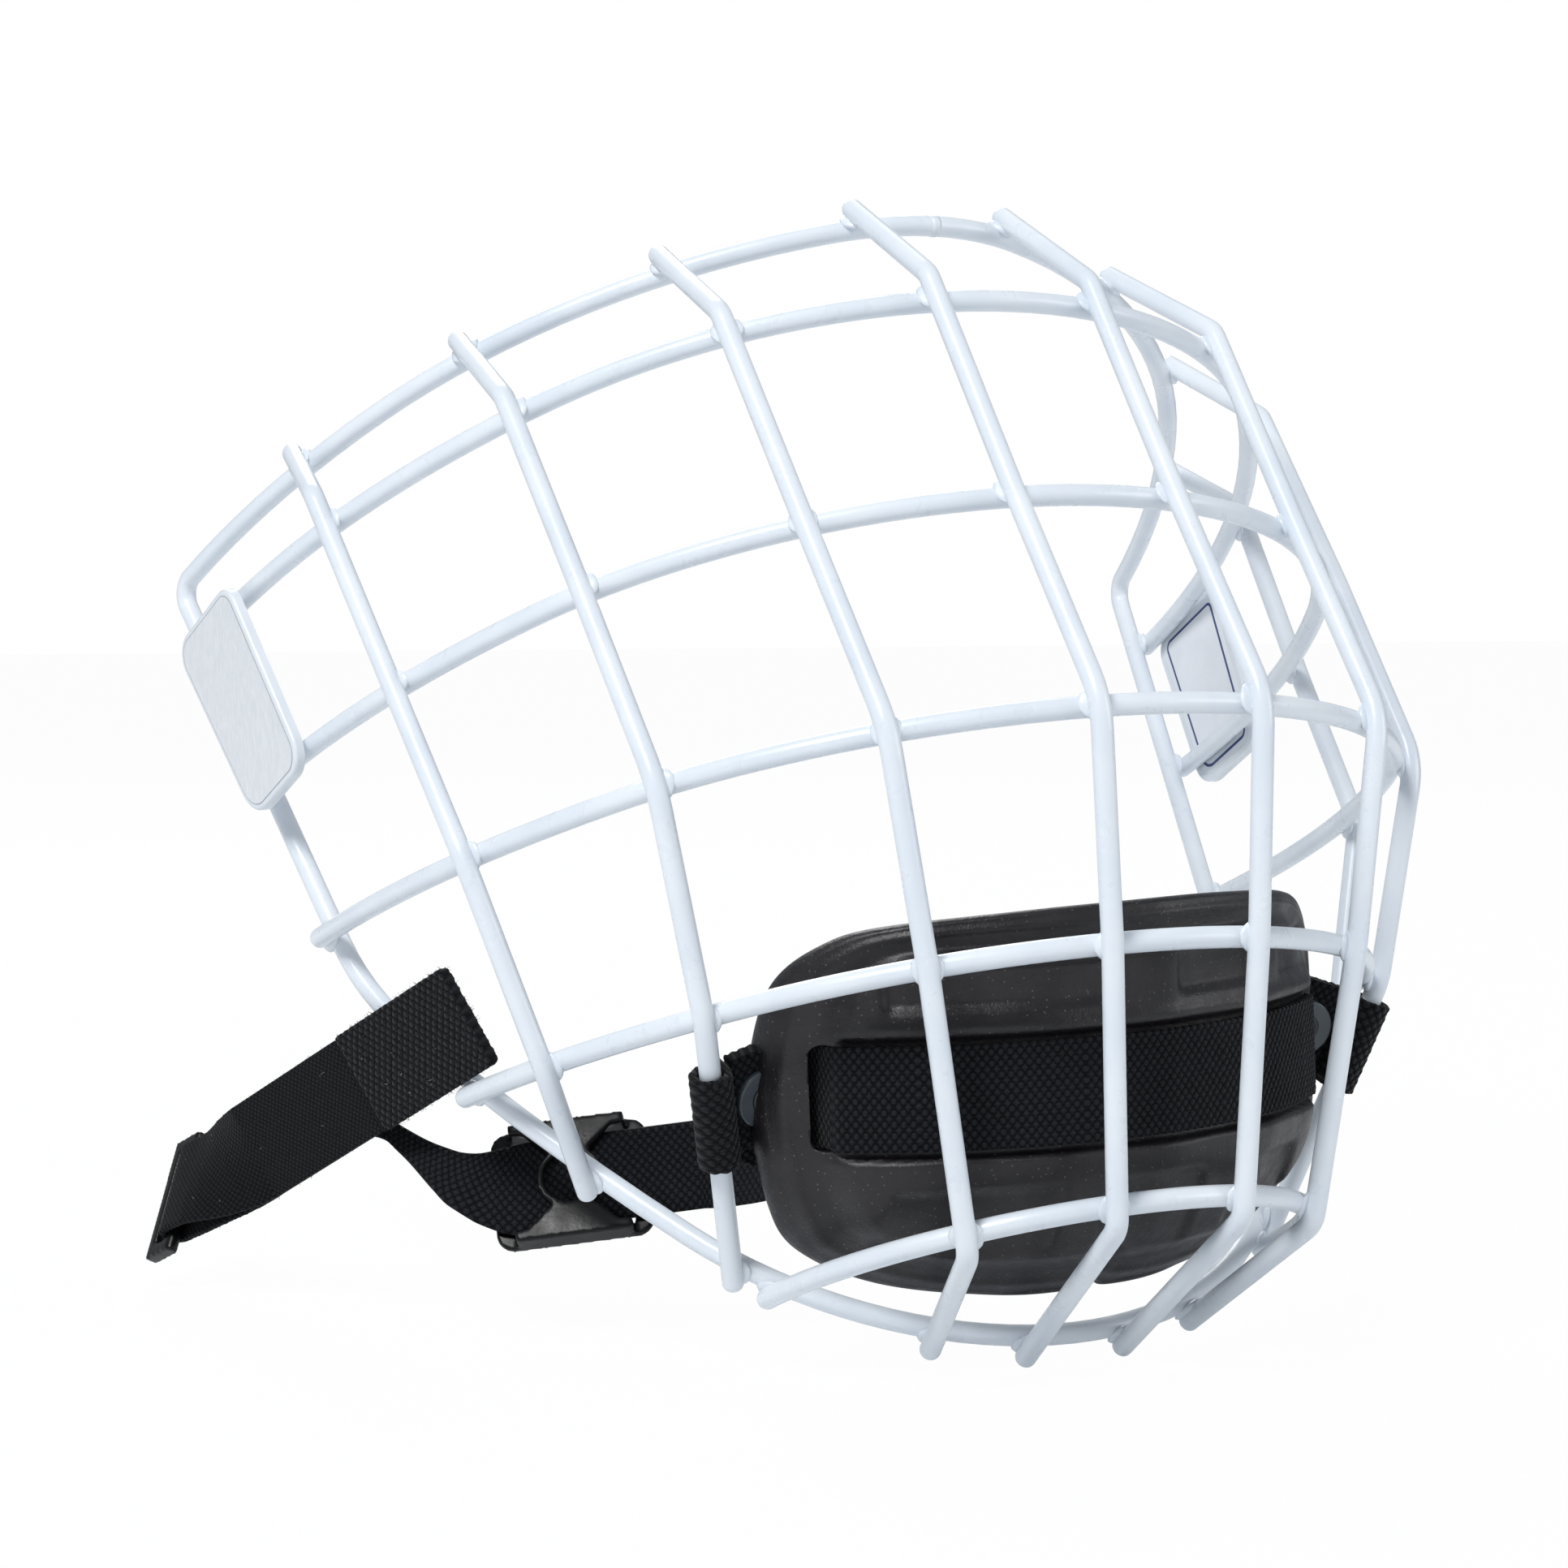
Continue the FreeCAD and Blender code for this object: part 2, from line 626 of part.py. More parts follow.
def chin_cup():
    body = new_body("chin_cup", CUP)
    section = sketch_on(body, "YZ_Plane", "chin_cup_section")
    points = [Vector(-radius, height, 0) for radius, height in cup_outline()]
    for first, last in zip(points, points[1:]):
        section.addGeometry(Part.LineSegment(first, last))
    outer = size("cup_radius")
    inner = outer - size("cup_wall")
    foot = size("cup_bottom_radius")
    bottom = -size("cup_bottom")
    band = points[-1]
    bulge = Vector(-(outer * 0.35 + foot * 0.65) - size("cup_wall"), (band.y * 0.4 + bottom * 0.6), 0)
    heel = Vector(-foot, bottom, 0)
    inner_heel = Vector(-foot + size("cup_wall") * 0.7, bottom + size("cup_wall") * 0.8, 0)
    inner_bulge = bulge + Vector(size("cup_wall") * 0.8, size("cup_wall") * 0.6, 0)
    inner_band = Vector(-inner, band.y + size("cup_wall"), 0)
    section.addGeometry(Part.Arc(band, bulge, heel))
    section.addGeometry(Part.LineSegment(heel, inner_heel))
    section.addGeometry(Part.Arc(inner_heel, inner_bulge, inner_band))
    section.addGeometry(Part.LineSegment(inner_band, points[0]))
    shell = body.newObject("PartDesign::Revolution", "chin_cup_shell")
    shell.Profile = section
    shell.ReferenceAxis = (section, ["V_Axis"])
    shell.Midplane = True
    bind(shell, "Angle", "Sizes.cup_sweep")
    doc.recompute()
    trim = sketch_on(body, "XZ_Plane", "chin_cup_trim")
    half = size("cup_half_width")
    side = half - size("cup_side_in")
    up, down = size("cup_side_up"), -size("cup_side_down")
    top_half, top_corner = size("cup_top_half"), size("cup_top_corner")
    low_half, low_corner = size("cup_low_half"), -size("cup_low_corner")
    top, low = size("cup_top") + 0.2, bottom - 0.2

    def right_side(sign):
        upper = Vector(sign * side, up, 0)
        lower = Vector(sign * side, down, 0)
        corner = Vector(sign * (top_half * 0.25 + side * 0.75), top_corner * 0.78 + up * 0.22, 0)
        low_bend = Vector(sign * (low_half * 0.32 + side * 0.68), low_corner * 0.68 + down * 0.32, 0)
        return [Part.Arc(Vector(sign * top_half, top_corner, 0), corner, upper),
                Part.Arc(upper, Vector(sign * half, (up + down) / 2, 0), lower),
                Part.Arc(lower, low_bend, Vector(sign * low_half, low_corner, 0))]

    for shape in right_side(1) + right_side(-1):
        trim.addGeometry(shape)
    trim.addGeometry(Part.Arc(Vector(-top_half, top_corner, 0), Vector(0, top, 0),
                              Vector(top_half, top_corner, 0)))
    trim.addGeometry(Part.Arc(Vector(-low_half, low_corner, 0), Vector(0, low, 0),
                              Vector(low_half, low_corner, 0)))
    reach = 2 * size("cup_radius")
    frame = [Vector(-reach, -reach, 0), Vector(reach, -reach, 0), Vector(reach, reach, 0),
             Vector(-reach, reach, 0)]
    for first, last in zip(frame, frame[1:] + frame[:1]):
        trim.addGeometry(Part.LineSegment(first, last))
    cut = body.newObject("PartDesign::Pocket", "chin_cup_edge")
    cut.Profile = trim
    cut.Type = 1
    cut.Midplane = True
    doc.recompute()
    slots = sketch_on(body, "XZ_Plane", "chin_cup_slots")
    half_width = size("cup_slot_width") / 2
    half_height = size("webbing_width") / 2 + size("cup_slot_play")
    for sign in (-1, 1):
        x = sign * size("cup_slot_x")
        box = [Vector(x - half_width, half_width - half_height, 0),
               Vector(x + half_width, half_width - half_height, 0),
               Vector(x + half_width, half_height - half_width, 0),
               Vector(x - half_width, half_height - half_width, 0)]
        slots.addGeometry(Part.Arc(box[0], Vector(x, -half_height, 0), box[1]))
        slots.addGeometry(Part.LineSegment(box[1], box[2]))
        slots.addGeometry(Part.Arc(box[2], Vector(x, half_height, 0), box[3]))
        slots.addGeometry(Part.LineSegment(box[3], box[0]))
    slot_cut = body.newObject("PartDesign::Pocket", "chin_cup_slot_cut")
    slot_cut.Profile = slots
    slot_cut.Type = 1
    slot_cut.Midplane = True


chin_cup()



# ---------------------------------------------------------------- ribbons


def smooth(points, count):
    """count points evenly spaced on a smooth curve through the given ones."""
    curve = Part.BSplineCurve()
    curve.interpolate(points)
    return curve.discretize(Number=count)


def blended(first, last, share):
    return unit(first * (1 - share) + last * share)


def ribbon_section(point, along, up, width, thickness):
    up = unit(up - along * along.dot(up))
    half_up = up * (width / 2)
    half_face = unit(along.cross(up)) * (thickness / 2)
    corners = [point + half_up + half_face, point + half_up - half_face,
               point - half_up - half_face, point - half_up + half_face]
    return Part.makePolygon(corners + corners[:1])


def ribbon(points, ups, width, thickness, thinned_start=False):
    """Solid webbing through points, its width along ups and its thickness across the run.

    A thinned start is bevelled so that it turns clear of its neighbour about its first point.
    """
    sections = []
    if thinned_start:
        along = unit(points[1] - points[0])
        bevel = points[0] - along * (0.35 * thickness)
        sections.append(ribbon_section(bevel, along, ups[0], width, 0.5 * thickness))
    for k, point in enumerate(points):
        along = unit(points[min(k + 1, len(points) - 1)] - points[max(k - 1, 0)])
        sections.append(ribbon_section(point, along, ups[k], width, thickness))
    return Part.makeLoft(sections, True, True)


def soft_part(name, shape):
    """A piece of webbing: its twisting run fits no body or primitive."""
    feature = doc.addObject("Part::Feature", name)
    feature.Label = name
    feature.Shape = shape
    parts.append(feature)
    return feature


# ---------------------------------------------------------------- chin loops and webbing


def loop_plane(side):
    """Frame on the wire that a loop grips: X towards the cup, Y inwards, Z up the wire."""
    wire = upright_wires["vertical_bar_7" if side > 0 else "vertical_bar_2"]
    level_way = CUP.Rotation.multVec(Vector(0, 0, 1))
    level = level_way.dot(CUP.multVec(Vector(0, 0, -size("loop_drop"))))
    hits = crossing_points(wire, level_way, level)
    point, up = min(hits, key=lambda hit: hit[0].y)
    if up.z < 0:
        up = -up
    toward = unit(Vector(0, 1, 0).cross(up))
    if side > 0:
        toward = -toward
    inward = Vector(up.cross(toward))
    if inward.y < 0:
        inward = -inward
    return point, toward, inward, up


def at_loop(side, toward, inward, up=0.0):
    point, x, y, z = LOOPS[side]
    return point + x * toward + y * inward + z * up


def fold_slope(side):
    return size("fold_slope_left" if side > 0 else "fold_slope_right")


def fold_line(side, toward):
    """Rear face of the doubled webbing in the loop's frame."""
    outer = size("wire_radius") + size("loop_play") + size("webbing_thickness")
    slope = fold_slope(side)
    return outer * math.sqrt(1 + slope * slope) - slope * toward


LOOPS = {side: loop_plane(side) for side in (-1, 1)}
FOLD_THICKNESS = 2 * size("webbing_thickness") + size("layer_gap")


def chin_loop(name, side):
    """Webbing folded round a wire, down to the neck where the doubled webbing begins."""
    point, toward, inward, _ = LOOPS[side]
    body = new_body(name, Placement(point, Rotation(toward, inward, Vector(0, 0, 0), "XYZ")))
    outer = size("wire_radius") + size("loop_play") + size("webbing_thickness")
    slope = fold_slope(side)
    lean = math.sqrt(1 + slope * slope)
    neck = size("loop_neck")
    rear_start = Vector(slope * outer / lean, outer / lean, 0)
    rear_end = Vector(neck, fold_line(side, neck), 0)
    front_end = Vector(neck, fold_line(side, neck) - FOLD_THICKNESS * lean, 0)
    drop = fold_line(side, 0) - FOLD_THICKNESS * lean
    reach = (slope * drop + math.sqrt(outer ** 2 * lean ** 2 - drop ** 2)) / lean ** 2
    front_start = Vector(reach, drop - slope * reach, 0)
    outline = sketch_on(body, "XY_Plane", f"{name}_outline")
    outline.addGeometry(Part.LineSegment(rear_start, rear_end))
    outline.addGeometry(Part.LineSegment(rear_end, front_end))
    outline.addGeometry(Part.LineSegment(front_end, front_start))
    outline.addGeometry(Part.Arc(front_start, Vector(-outer, 0, 0), rear_start))
    outline.addGeometry(Part.Circle(Vector(0, 0, 0), Vector(0, 0, 1),
                                    size("wire_radius") + size("loop_play")))
    pad = body.newObject("PartDesign::Pad", f"{name}_pad")
    pad.Profile = outline
    pad.Midplane = True
    bind(pad, "Length", "Sizes.webbing_width")


chin_loop("chin_loop_right", -1)
chin_loop("chin_loop_left", 1)


def webbing_end(side):
    """Half of the chin webbing: from the cup's front through a slot and back to a loop."""
    middle = (size("cup_radius") - size("channel_depth") + size("webbing_play")
              + size("webbing_thickness") / 2)
    points = []
    steps = 9
    for k in range(steps + 1):
        angle = math.radians(size("webbing_sweep") * k / steps)
        points.append(Vector(side * middle * math.sin(angle), -middle * math.cos(angle), 0))
    ups = [Vector(0, 0, 1)] * len(points)
    edge = size("cup_slot_x") - size("cup_slot_width") / 2
    channel = size("cup_radius") - size("channel_depth")
    edge_y = -math.sqrt(channel ** 2 - edge ** 2)
    clear = size("webbing_thickness") / 2 + size("webbing_play") / 2
    through = []
    for angle in (50, 15):
        round_edge = Vector(math.cos(math.radians(angle)), -math.sin(math.radians(angle)), 0)
        through.append(Vector(edge, edge_y, 0) + round_edge * clear)
    through += [Vector(edge + clear, edge_y + step, 0) for step in (1.5, 5.0, 8.0)]
    through = [Vector(side * point.x, point.y, 0) for point in through]
    points += through
    ups += [Vector(0, 0, 1)] * len(through)
    points = [CUP.multVec(point) for point in points]
    ups = [CUP.Rotation.multVec(up) for up in ups]
    half = size("webbing_thickness") / 2
    loop_up = LOOPS[side][3]

    def rear_layer(toward):
        return at_loop(side, toward, fold_line(side, toward) - half)

    last = points[-1]
    turn_end = rear_layer(size("fold_end") + 0.3)
    corner = at_loop(side, size("fold_end") + 2.0, fold_line(side, size("fold_end")) - 2.4)
    turn = Part.BezierCurve()
    turn.setPoles([last, last + CUP.Rotation.multVec(Vector(0, 1.6, 0)), corner, turn_end])
    bend = [turn.value(k / 6) for k in range(1, 7)]
    points += bend
    ups += [blended(ups[-1], loop_up, k / 6) for k in range(1, 7)]
    tail = [rear_layer(size("fold_end") - 3.0), rear_layer(size("loop_neck") + size("loop_gap") + size("block_hair"))]
    points += tail
    ups += [loop_up] * len(tail)
    return points, ups


def fold_block(side):
    """The doubled end of the webbing as one block, a hair larger than the layers inside it."""
    start = size("loop_neck") + size("loop_gap")
    end = size("fold_end")
    hair = size("block_hair")
    half = size("webbing_width") / 2 + hair
    lean = math.sqrt(1 + fold_slope(side) ** 2)
    rear = hair
    front = -FOLD_THICKNESS * lean
    corners = [at_loop(side, start, fold_line(side, start) + rear, -half),
               at_loop(side, end, fold_line(side, end) + rear, -half),
               at_loop(side, end, fold_line(side, end) + front, -half),
               at_loop(side, start, fold_line(side, start) + front, -half)]
    face = Part.Face(Part.makePolygon(corners + corners[:1]))
    return face.extrude(LOOPS[side][3] * (2 * half))


PATCH_TURN = math.radians(size("patch_lean"))


def on_patch(along, inward=0.0):
    """Point of the strap's sewn patch, on the rear of the right doubled end."""
    start = size("patch_start")
    toward = start + (along - start) * math.cos(PATCH_TURN)
    up = -size("patch_drop") - (along - start) * math.sin(PATCH_TURN)
    rear = fold_line(-1, toward) + size("layer_gap") / 2 + size("webbing_thickness") / 2
    return at_loop(-1, toward, rear + inward, up)


PATCH_UP = unit(LOOPS[-1][3] * math.cos(PATCH_TURN) + LOOPS[-1][1] * math.sin(PATCH_TURN))


def chin_webbing():
    left, left_ups = webbing_end(1)
    right, right_ups = webbing_end(-1)
    width = size("webbing_width")
    thickness = size("webbing_thickness")
    run = ribbon(right[::-1] + left[1:], right_ups[::-1] + left_ups[1:], width, thickness)
    patch = ribbon([on_patch(size("patch_start")), on_patch(size("patch_end"))],
                   [PATCH_UP, PATCH_UP], width, thickness + size("layer_gap"))
    solid = run
    for piece in (fold_block(-1), fold_block(1), patch):
        solid = solid.fuse(piece)
    soft_part("chin_webbing", solid.Solids[0])


chin_webbing()


def snap_cap(name, side):
    """Round press-stud cap on the front of a doubled end."""
    place = size("snap_place")
    lean = math.sqrt(1 + fold_slope(side) ** 2)
    toward, inward, up = LOOPS[side][1:]
    outward = unit(-inward - toward * fold_slope(side))
    base = at_loop(side, place, fold_line(side, place) - FOLD_THICKNESS * lean)
    body = new_body(name, Placement(base, Rotation(up.cross(outward), up, outward)))
    disc = sketch_on(body, "XY_Plane", f"{name}_disc")
    disc.addGeometry(Part.Circle(Vector(0, 0, 0), Vector(0, 0, 1), size("snap_radius")))
    pad = body.newObject("PartDesign::Pad", f"{name}_pad")
    pad.Profile = disc
    bind(pad, "Length", "Sizes.snap_thickness")
    dimple = sketch_on(body, "XY_Plane", f"{name}_dimple_place",
                       Placement(Vector(0, 0, size("snap_thickness")), Rotation()))
    dimple.addGeometry(Part.Circle(Vector(0, 0, 0), Vector(0, 0, 1), size("snap_hole_radius")))
    pocket = body.newObject("PartDesign::Pocket", f"{name}_dimple")
    pocket.Profile = dimple
    bind(pocket, "Length", "Sizes.snap_hole_depth")
    doc.recompute()
    rims = [f"Edge{k}" for k, edge in enumerate(pocket.Shape.Edges, start=1)
            if abs(edge.BoundBox.ZMin - size("snap_thickness")) < 0.01
            and edge.BoundBox.XLength > 2 * size("snap_hole_radius") + 1]
    edge_round = body.newObject("PartDesign::Fillet", f"{name}_edge")
    edge_round.Base = (pocket, rims)
    bind(edge_round, "Radius", "Sizes.snap_edge")


snap_cap("snap_cap_right", -1)
snap_cap("snap_cap_left", 1)



# ---------------------------------------------------------------- side strap

SLIDER_ALONG = unit(Vector(size("slider_way_x"), size("slider_way_y"), size("slider_way_z")))
SLIDER_PLACE = Vector(size("slider_x"), size("slider_y"), size("slider_z"))
level_up = unit(Vector(0, 0, 1) - SLIDER_ALONG * SLIDER_ALONG.z)
level_out = unit(SLIDER_ALONG.cross(level_up))
if level_out.y > 0:
    level_out = -level_out
tilt = math.radians(size("slider_tilt"))
SLIDER_UP = unit(level_up * math.cos(tilt) - level_out * math.sin(tilt))
SLIDER_OUT = unit(level_out * math.cos(tilt) + level_up * math.sin(tilt))
TAB_ALONG = unit(TAB_ALONG)
TAB_UP = unit(TAB_UP - TAB_ALONG * TAB_ALONG.dot(TAB_UP))
TAB_OUT = unit(TAB_ALONG.cross(TAB_UP))
if TAB_OUT.x > 0:
    TAB_OUT = -TAB_OUT
RING_ALONG = unit(RING_ALONG)
RING_UP = unit(RING_UP - RING_ALONG * RING_ALONG.dot(RING_UP))
RING_OUT = unit(RING_ALONG.cross(RING_UP))
if RING_OUT.x > 0:
    RING_OUT = -RING_OUT


def on_tab(along, up, out):
    """Point in the hook tab's frame; out is measured from the middle of its thickness."""
    return TAB_BASE + TAB_ALONG * along + TAB_UP * up + TAB_OUT * out


def at_ring(along, out):
    return RING_BASE + RING_ALONG * along + RING_OUT * out


SWING_POINT = on_patch(size("patch_end") + size("webbing_thickness") / 2 + size("swing_gap"))
PATCH_ALONG = unit(on_patch(size("patch_end")) - on_patch(size("patch_start")))
LAYER = size("band_thickness")
BAND_PITCH = LAYER + size("layer_gap")
FOLD_RADIUS = size("ring_bar_radius") + size("ring_play") + LAYER / 2


def strap_stations():
    """Centre-line and across directions of the strap from the swing line to the band."""
    near_end = SLIDER_PLACE - SLIDER_ALONG * size("straight_fore")
    far_end = SLIDER_PLACE + SLIDER_ALONG * size("straight_aft")
    fore = smooth([SWING_POINT + PATCH_ALONG * 1.6, Vector(-34.9, -26.1, -145.5), Vector(-33.6, -19.5, -147.3),
                   Vector(-34.2, -12.0, -149.7), Vector(-36.3, -4.0, -152.0),
                   near_end - SLIDER_ALONG * 3.0, near_end], 21)
    fore.insert(0, SWING_POINT)
    fore_ups = [blended(PATCH_UP, SLIDER_UP, min(1.0, k / 20)) for k in range(22)]
    lie = size("tab_thickness") / 2
    sewn = -(BAND_PITCH + LAYER / 2 + size("layer_gap") + size("webbing_thickness") / 2 + 0.1)
    joined = on_tab(48.0, -1.0, sewn)
    sewn_end = on_tab(56.0, -1.0, sewn)
    aft = smooth([far_end, far_end + SLIDER_ALONG * 3.0, Vector(-80.0, 31.6, -157.0),
                  Vector(-80.4, 42.0, -152.0), joined - TAB_ALONG * 3.5 - TAB_OUT * 0.3, joined], 22)
    flat = Vector(0.468, 0.882, 0.1)
    aft_ups = []
    for k in range(22):
        share = k / 21
        if share < 0.6:
            aft_ups.append(blended(SLIDER_UP, flat, share / 0.6))
        else:
            aft_ups.append(blended(flat, TAB_UP, min(1.0, (share - 0.6) / 0.3)))
    points = fore + aft + [sewn_end]
    return points, fore_ups + aft_ups + [TAB_UP]


def strap_webbing():
    points, ups = strap_stations()
    run = ribbon(points, ups, size("webbing_width"), size("webbing_thickness"), True)
    soft_part("strap_webbing", run)


strap_webbing()


# ---------------------------------------------------------------- slider


def slider_buckle():
    """Slider: end bars behind the webbing, ring before it and two rails that join them."""
    placement = Placement(SLIDER_PLACE, Rotation(SLIDER_ALONG, SLIDER_ALONG.cross(SLIDER_OUT) * -1,
                                                 SLIDER_OUT, "ZXY"))
    body = new_body("slider_buckle", placement)
    half_layer = size("webbing_thickness") / 2 + size("slider_play")
    length, height = size("slider_length"), size("slider_height")
    rail, bar = size("slider_rail"), size("slider_bar")
    corner = size("slider_corner")
    frame_corners = [(length / 2, height / 2), (-length / 2, height / 2),
                     (-length / 2, -height / 2), (length / 2, -height / 2)]

    def ring_outline(sketch, half_x, half_y, radius):
        points = [Vector(half_x, half_y, 0), Vector(-half_x, half_y, 0),
                  Vector(-half_x, -half_y, 0), Vector(half_x, -half_y, 0)]
        cuts = []
        for k, point in enumerate(points):
            come = unit(point - points[k - 1])
            leave = unit(points[(k + 1) % 4] - point)
            middle = point + unit(leave - come) * (radius * math.sqrt(2) - radius)
            cuts.append((point - come * radius, middle, point + leave * radius))
        for k in range(4):
            sketch.addGeometry(Part.Arc(*cuts[k]))
            sketch.addGeometry(Part.LineSegment(cuts[k][2], cuts[(k + 1) % 4][0]))

    base = sketch_on(body, "XY_Plane", "slider_base_place",
                     Placement(Vector(0, 0, -half_layer - size("slider_layer")), Rotation()))
    ring_outline(base, length / 2, height / 2, corner)
    ring_outline(base, length / 2 - bar, height / 2 - rail, 0.8)
    low = body.newObject("PartDesign::Pad", "slider_base")
    low.Profile = base
    bind(low, "Length", "Sizes.slider_layer")
    rails = sketch_on(body, "XY_Plane", "slider_rails_place",
                      Placement(Vector(0, 0, -half_layer - size("slider_layer")), Rotation()))
    rail_half = size("slider_middle")
    for sign in (-1, 1):
        far = sign * height / 2
        near = sign * (height / 2 - rail)
        box = [Vector(-rail_half, near, 0), Vector(rail_half, near, 0),
               Vector(rail_half, far, 0), Vector(-rail_half, far, 0)]
        for first, last in zip(box, box[1:] + box[:1]):
            rails.addGeometry(Part.LineSegment(first, last))
    sides = body.newObject("PartDesign::Pad", "slider_rails")
    sides.Profile = rails
    bind(sides, "Length", "2 * Sizes.slider_layer + Sizes.webbing_thickness + 2 * Sizes.slider_play")
    bridge = sketch_on(body, "XY_Plane", "slider_bridge_place",
                       Placement(Vector(0, 0, half_layer), Rotation()))
    ring = size("slider_ring_radius")
    half_height = height / 2
    flare = size("slider_bar")
    join_y = math.sqrt(ring ** 2 - flare ** 2)
    outline = [Vector(flare, join_y, 0), Vector(rail_half, half_height, 0),
               Vector(-rail_half, half_height, 0), Vector(-flare, join_y, 0)]
    bridge.addGeometry(Part.LineSegment(outline[0], outline[1]))
    bridge.addGeometry(Part.LineSegment(outline[1], outline[2]))
    bridge.addGeometry(Part.LineSegment(outline[2], outline[3]))
    bridge.addGeometry(Part.Arc(outline[3], Vector(-ring, 0, 0), Vector(-flare, -join_y, 0)))
    bridge.addGeometry(Part.LineSegment(Vector(-flare, -join_y, 0), Vector(-rail_half, -half_height, 0)))
    bridge.addGeometry(Part.LineSegment(Vector(-rail_half, -half_height, 0),
                                        Vector(rail_half, -half_height, 0)))
    bridge.addGeometry(Part.LineSegment(Vector(rail_half, -half_height, 0), Vector(flare, -join_y, 0)))
    bridge.addGeometry(Part.Arc(Vector(flare, -join_y, 0), Vector(ring, 0, 0), outline[0]))
    bridge.addGeometry(Part.Circle(Vector(0, 0, 0), Vector(0, 0, 1), size("slider_hole_radius")))
    top = body.newObject("PartDesign::Pad", "slider_bridge")
    top.Profile = bridge
    bind(top, "Length", "Sizes.slider_layer")


slider_buckle()


# ---------------------------------------------------------------- band, hook tab and end loop


def turning(share):
    """Directions along the band: the tab's at 0, the end loop's at 1."""
    along = blended(TAB_ALONG, RING_ALONG, share)
    up = blended(TAB_UP, RING_UP, share)
    up = unit(up - along * along.dot(up))
    out = unit(along.cross(up))
    if out.x > 0:
        out = -out
    return along, up, out


def elastic_band():
    """Band from the tab to the end loop, round its bar and back under itself."""
    start = size("tab_length") + size("tab_thickness") / 2 + size("tab_gap")
    straight_end = 62.0
    outer = [on_tab(start, 0, 0), on_tab(45.0, 0, 0), on_tab(straight_end, 0, 0)]
    ups = [TAB_UP] * 3
    inner = [on_tab(start + 3.0, 0, -BAND_PITCH), on_tab(45.0, 0, -BAND_PITCH),
             on_tab(straight_end, 0, -BAND_PITCH)]
    steps = 8
    first = on_tab(straight_end, 0, 0)
    last = RING_BASE + RING_OUT * FOLD_RADIUS
    reach = first.distanceToPoint(last)
    sweep = Part.BezierCurve()
    sweep.setPoles([first, first + TAB_ALONG * reach / 3, last - RING_ALONG * reach / 3, last])
    for k in range(1, steps + 1):
        share = k / steps
        _, up, out = turning(min(1.0, share / 0.7))
        gap = BAND_PITCH + (2 * FOLD_RADIUS - BAND_PITCH) * min(1.0, share / 0.7)
        outer.append(sweep.value(share))
        inner.append(sweep.value(share) - out * gap)
        ups.append(up)
    fold = []
    for k in range(1, 8):
        angle = math.pi * k / 8
        fold.append(at_ring(FOLD_RADIUS * math.sin(angle), FOLD_RADIUS * math.cos(angle)))
    points = outer + fold + inner[::-1]
    all_ups = ups + [RING_UP] * len(fold) + ups[::-1]
    soft_part("elastic_band", ribbon(points, all_ups, size("band_width"), LAYER))


elastic_band()


def hook_tab():
    half = size("tab_width") / 2
    placement = Placement(TAB_BASE, Rotation(TAB_ALONG, TAB_UP, Vector(0, 0, 0), "XYZ"))
    body = new_body("hook_tab", placement)
    outline = sketch_on(body, "XY_Plane", "hook_tab_outline")
    corner = size("tab_corner")
    length = size("tab_length")
    middle = corner * (1 - math.sqrt(0.5))
    outline.addGeometry(Part.LineSegment(Vector(length, -half, 0), Vector(length, half, 0)))
    outline.addGeometry(Part.LineSegment(Vector(length, half, 0), Vector(corner, half, 0)))
    outline.addGeometry(Part.Arc(Vector(corner, half, 0), Vector(middle, half - middle, 0),
                                 Vector(0, half - corner, 0)))
    outline.addGeometry(Part.LineSegment(Vector(0, half - corner, 0), Vector(0, corner - half, 0)))
    outline.addGeometry(Part.Arc(Vector(0, corner - half, 0), Vector(middle, middle - half, 0),
                                 Vector(corner, -half, 0)))
    outline.addGeometry(Part.LineSegment(Vector(corner, -half, 0), Vector(length, -half, 0)))
    pad = body.newObject("PartDesign::Pad", "hook_tab_pad")
    pad.Profile = outline
    pad.Midplane = True
    bind(pad, "Length", "Sizes.tab_thickness")
    knuckle = sketch_on(body, "XZ_Plane", "hook_tab_fold_place",
                        Placement(Vector(0, 0, -half), Rotation()))
    knuckle.addGeometry(Part.Circle(Vector(length, 0, 0), Vector(0, 0, 1),
                                    size("tab_thickness") / 2))
    fold = body.newObject("PartDesign::Pad", "hook_tab_fold")
    fold.Profile = knuckle
    bind(fold, "Length", "Sizes.tab_width")


hook_tab()


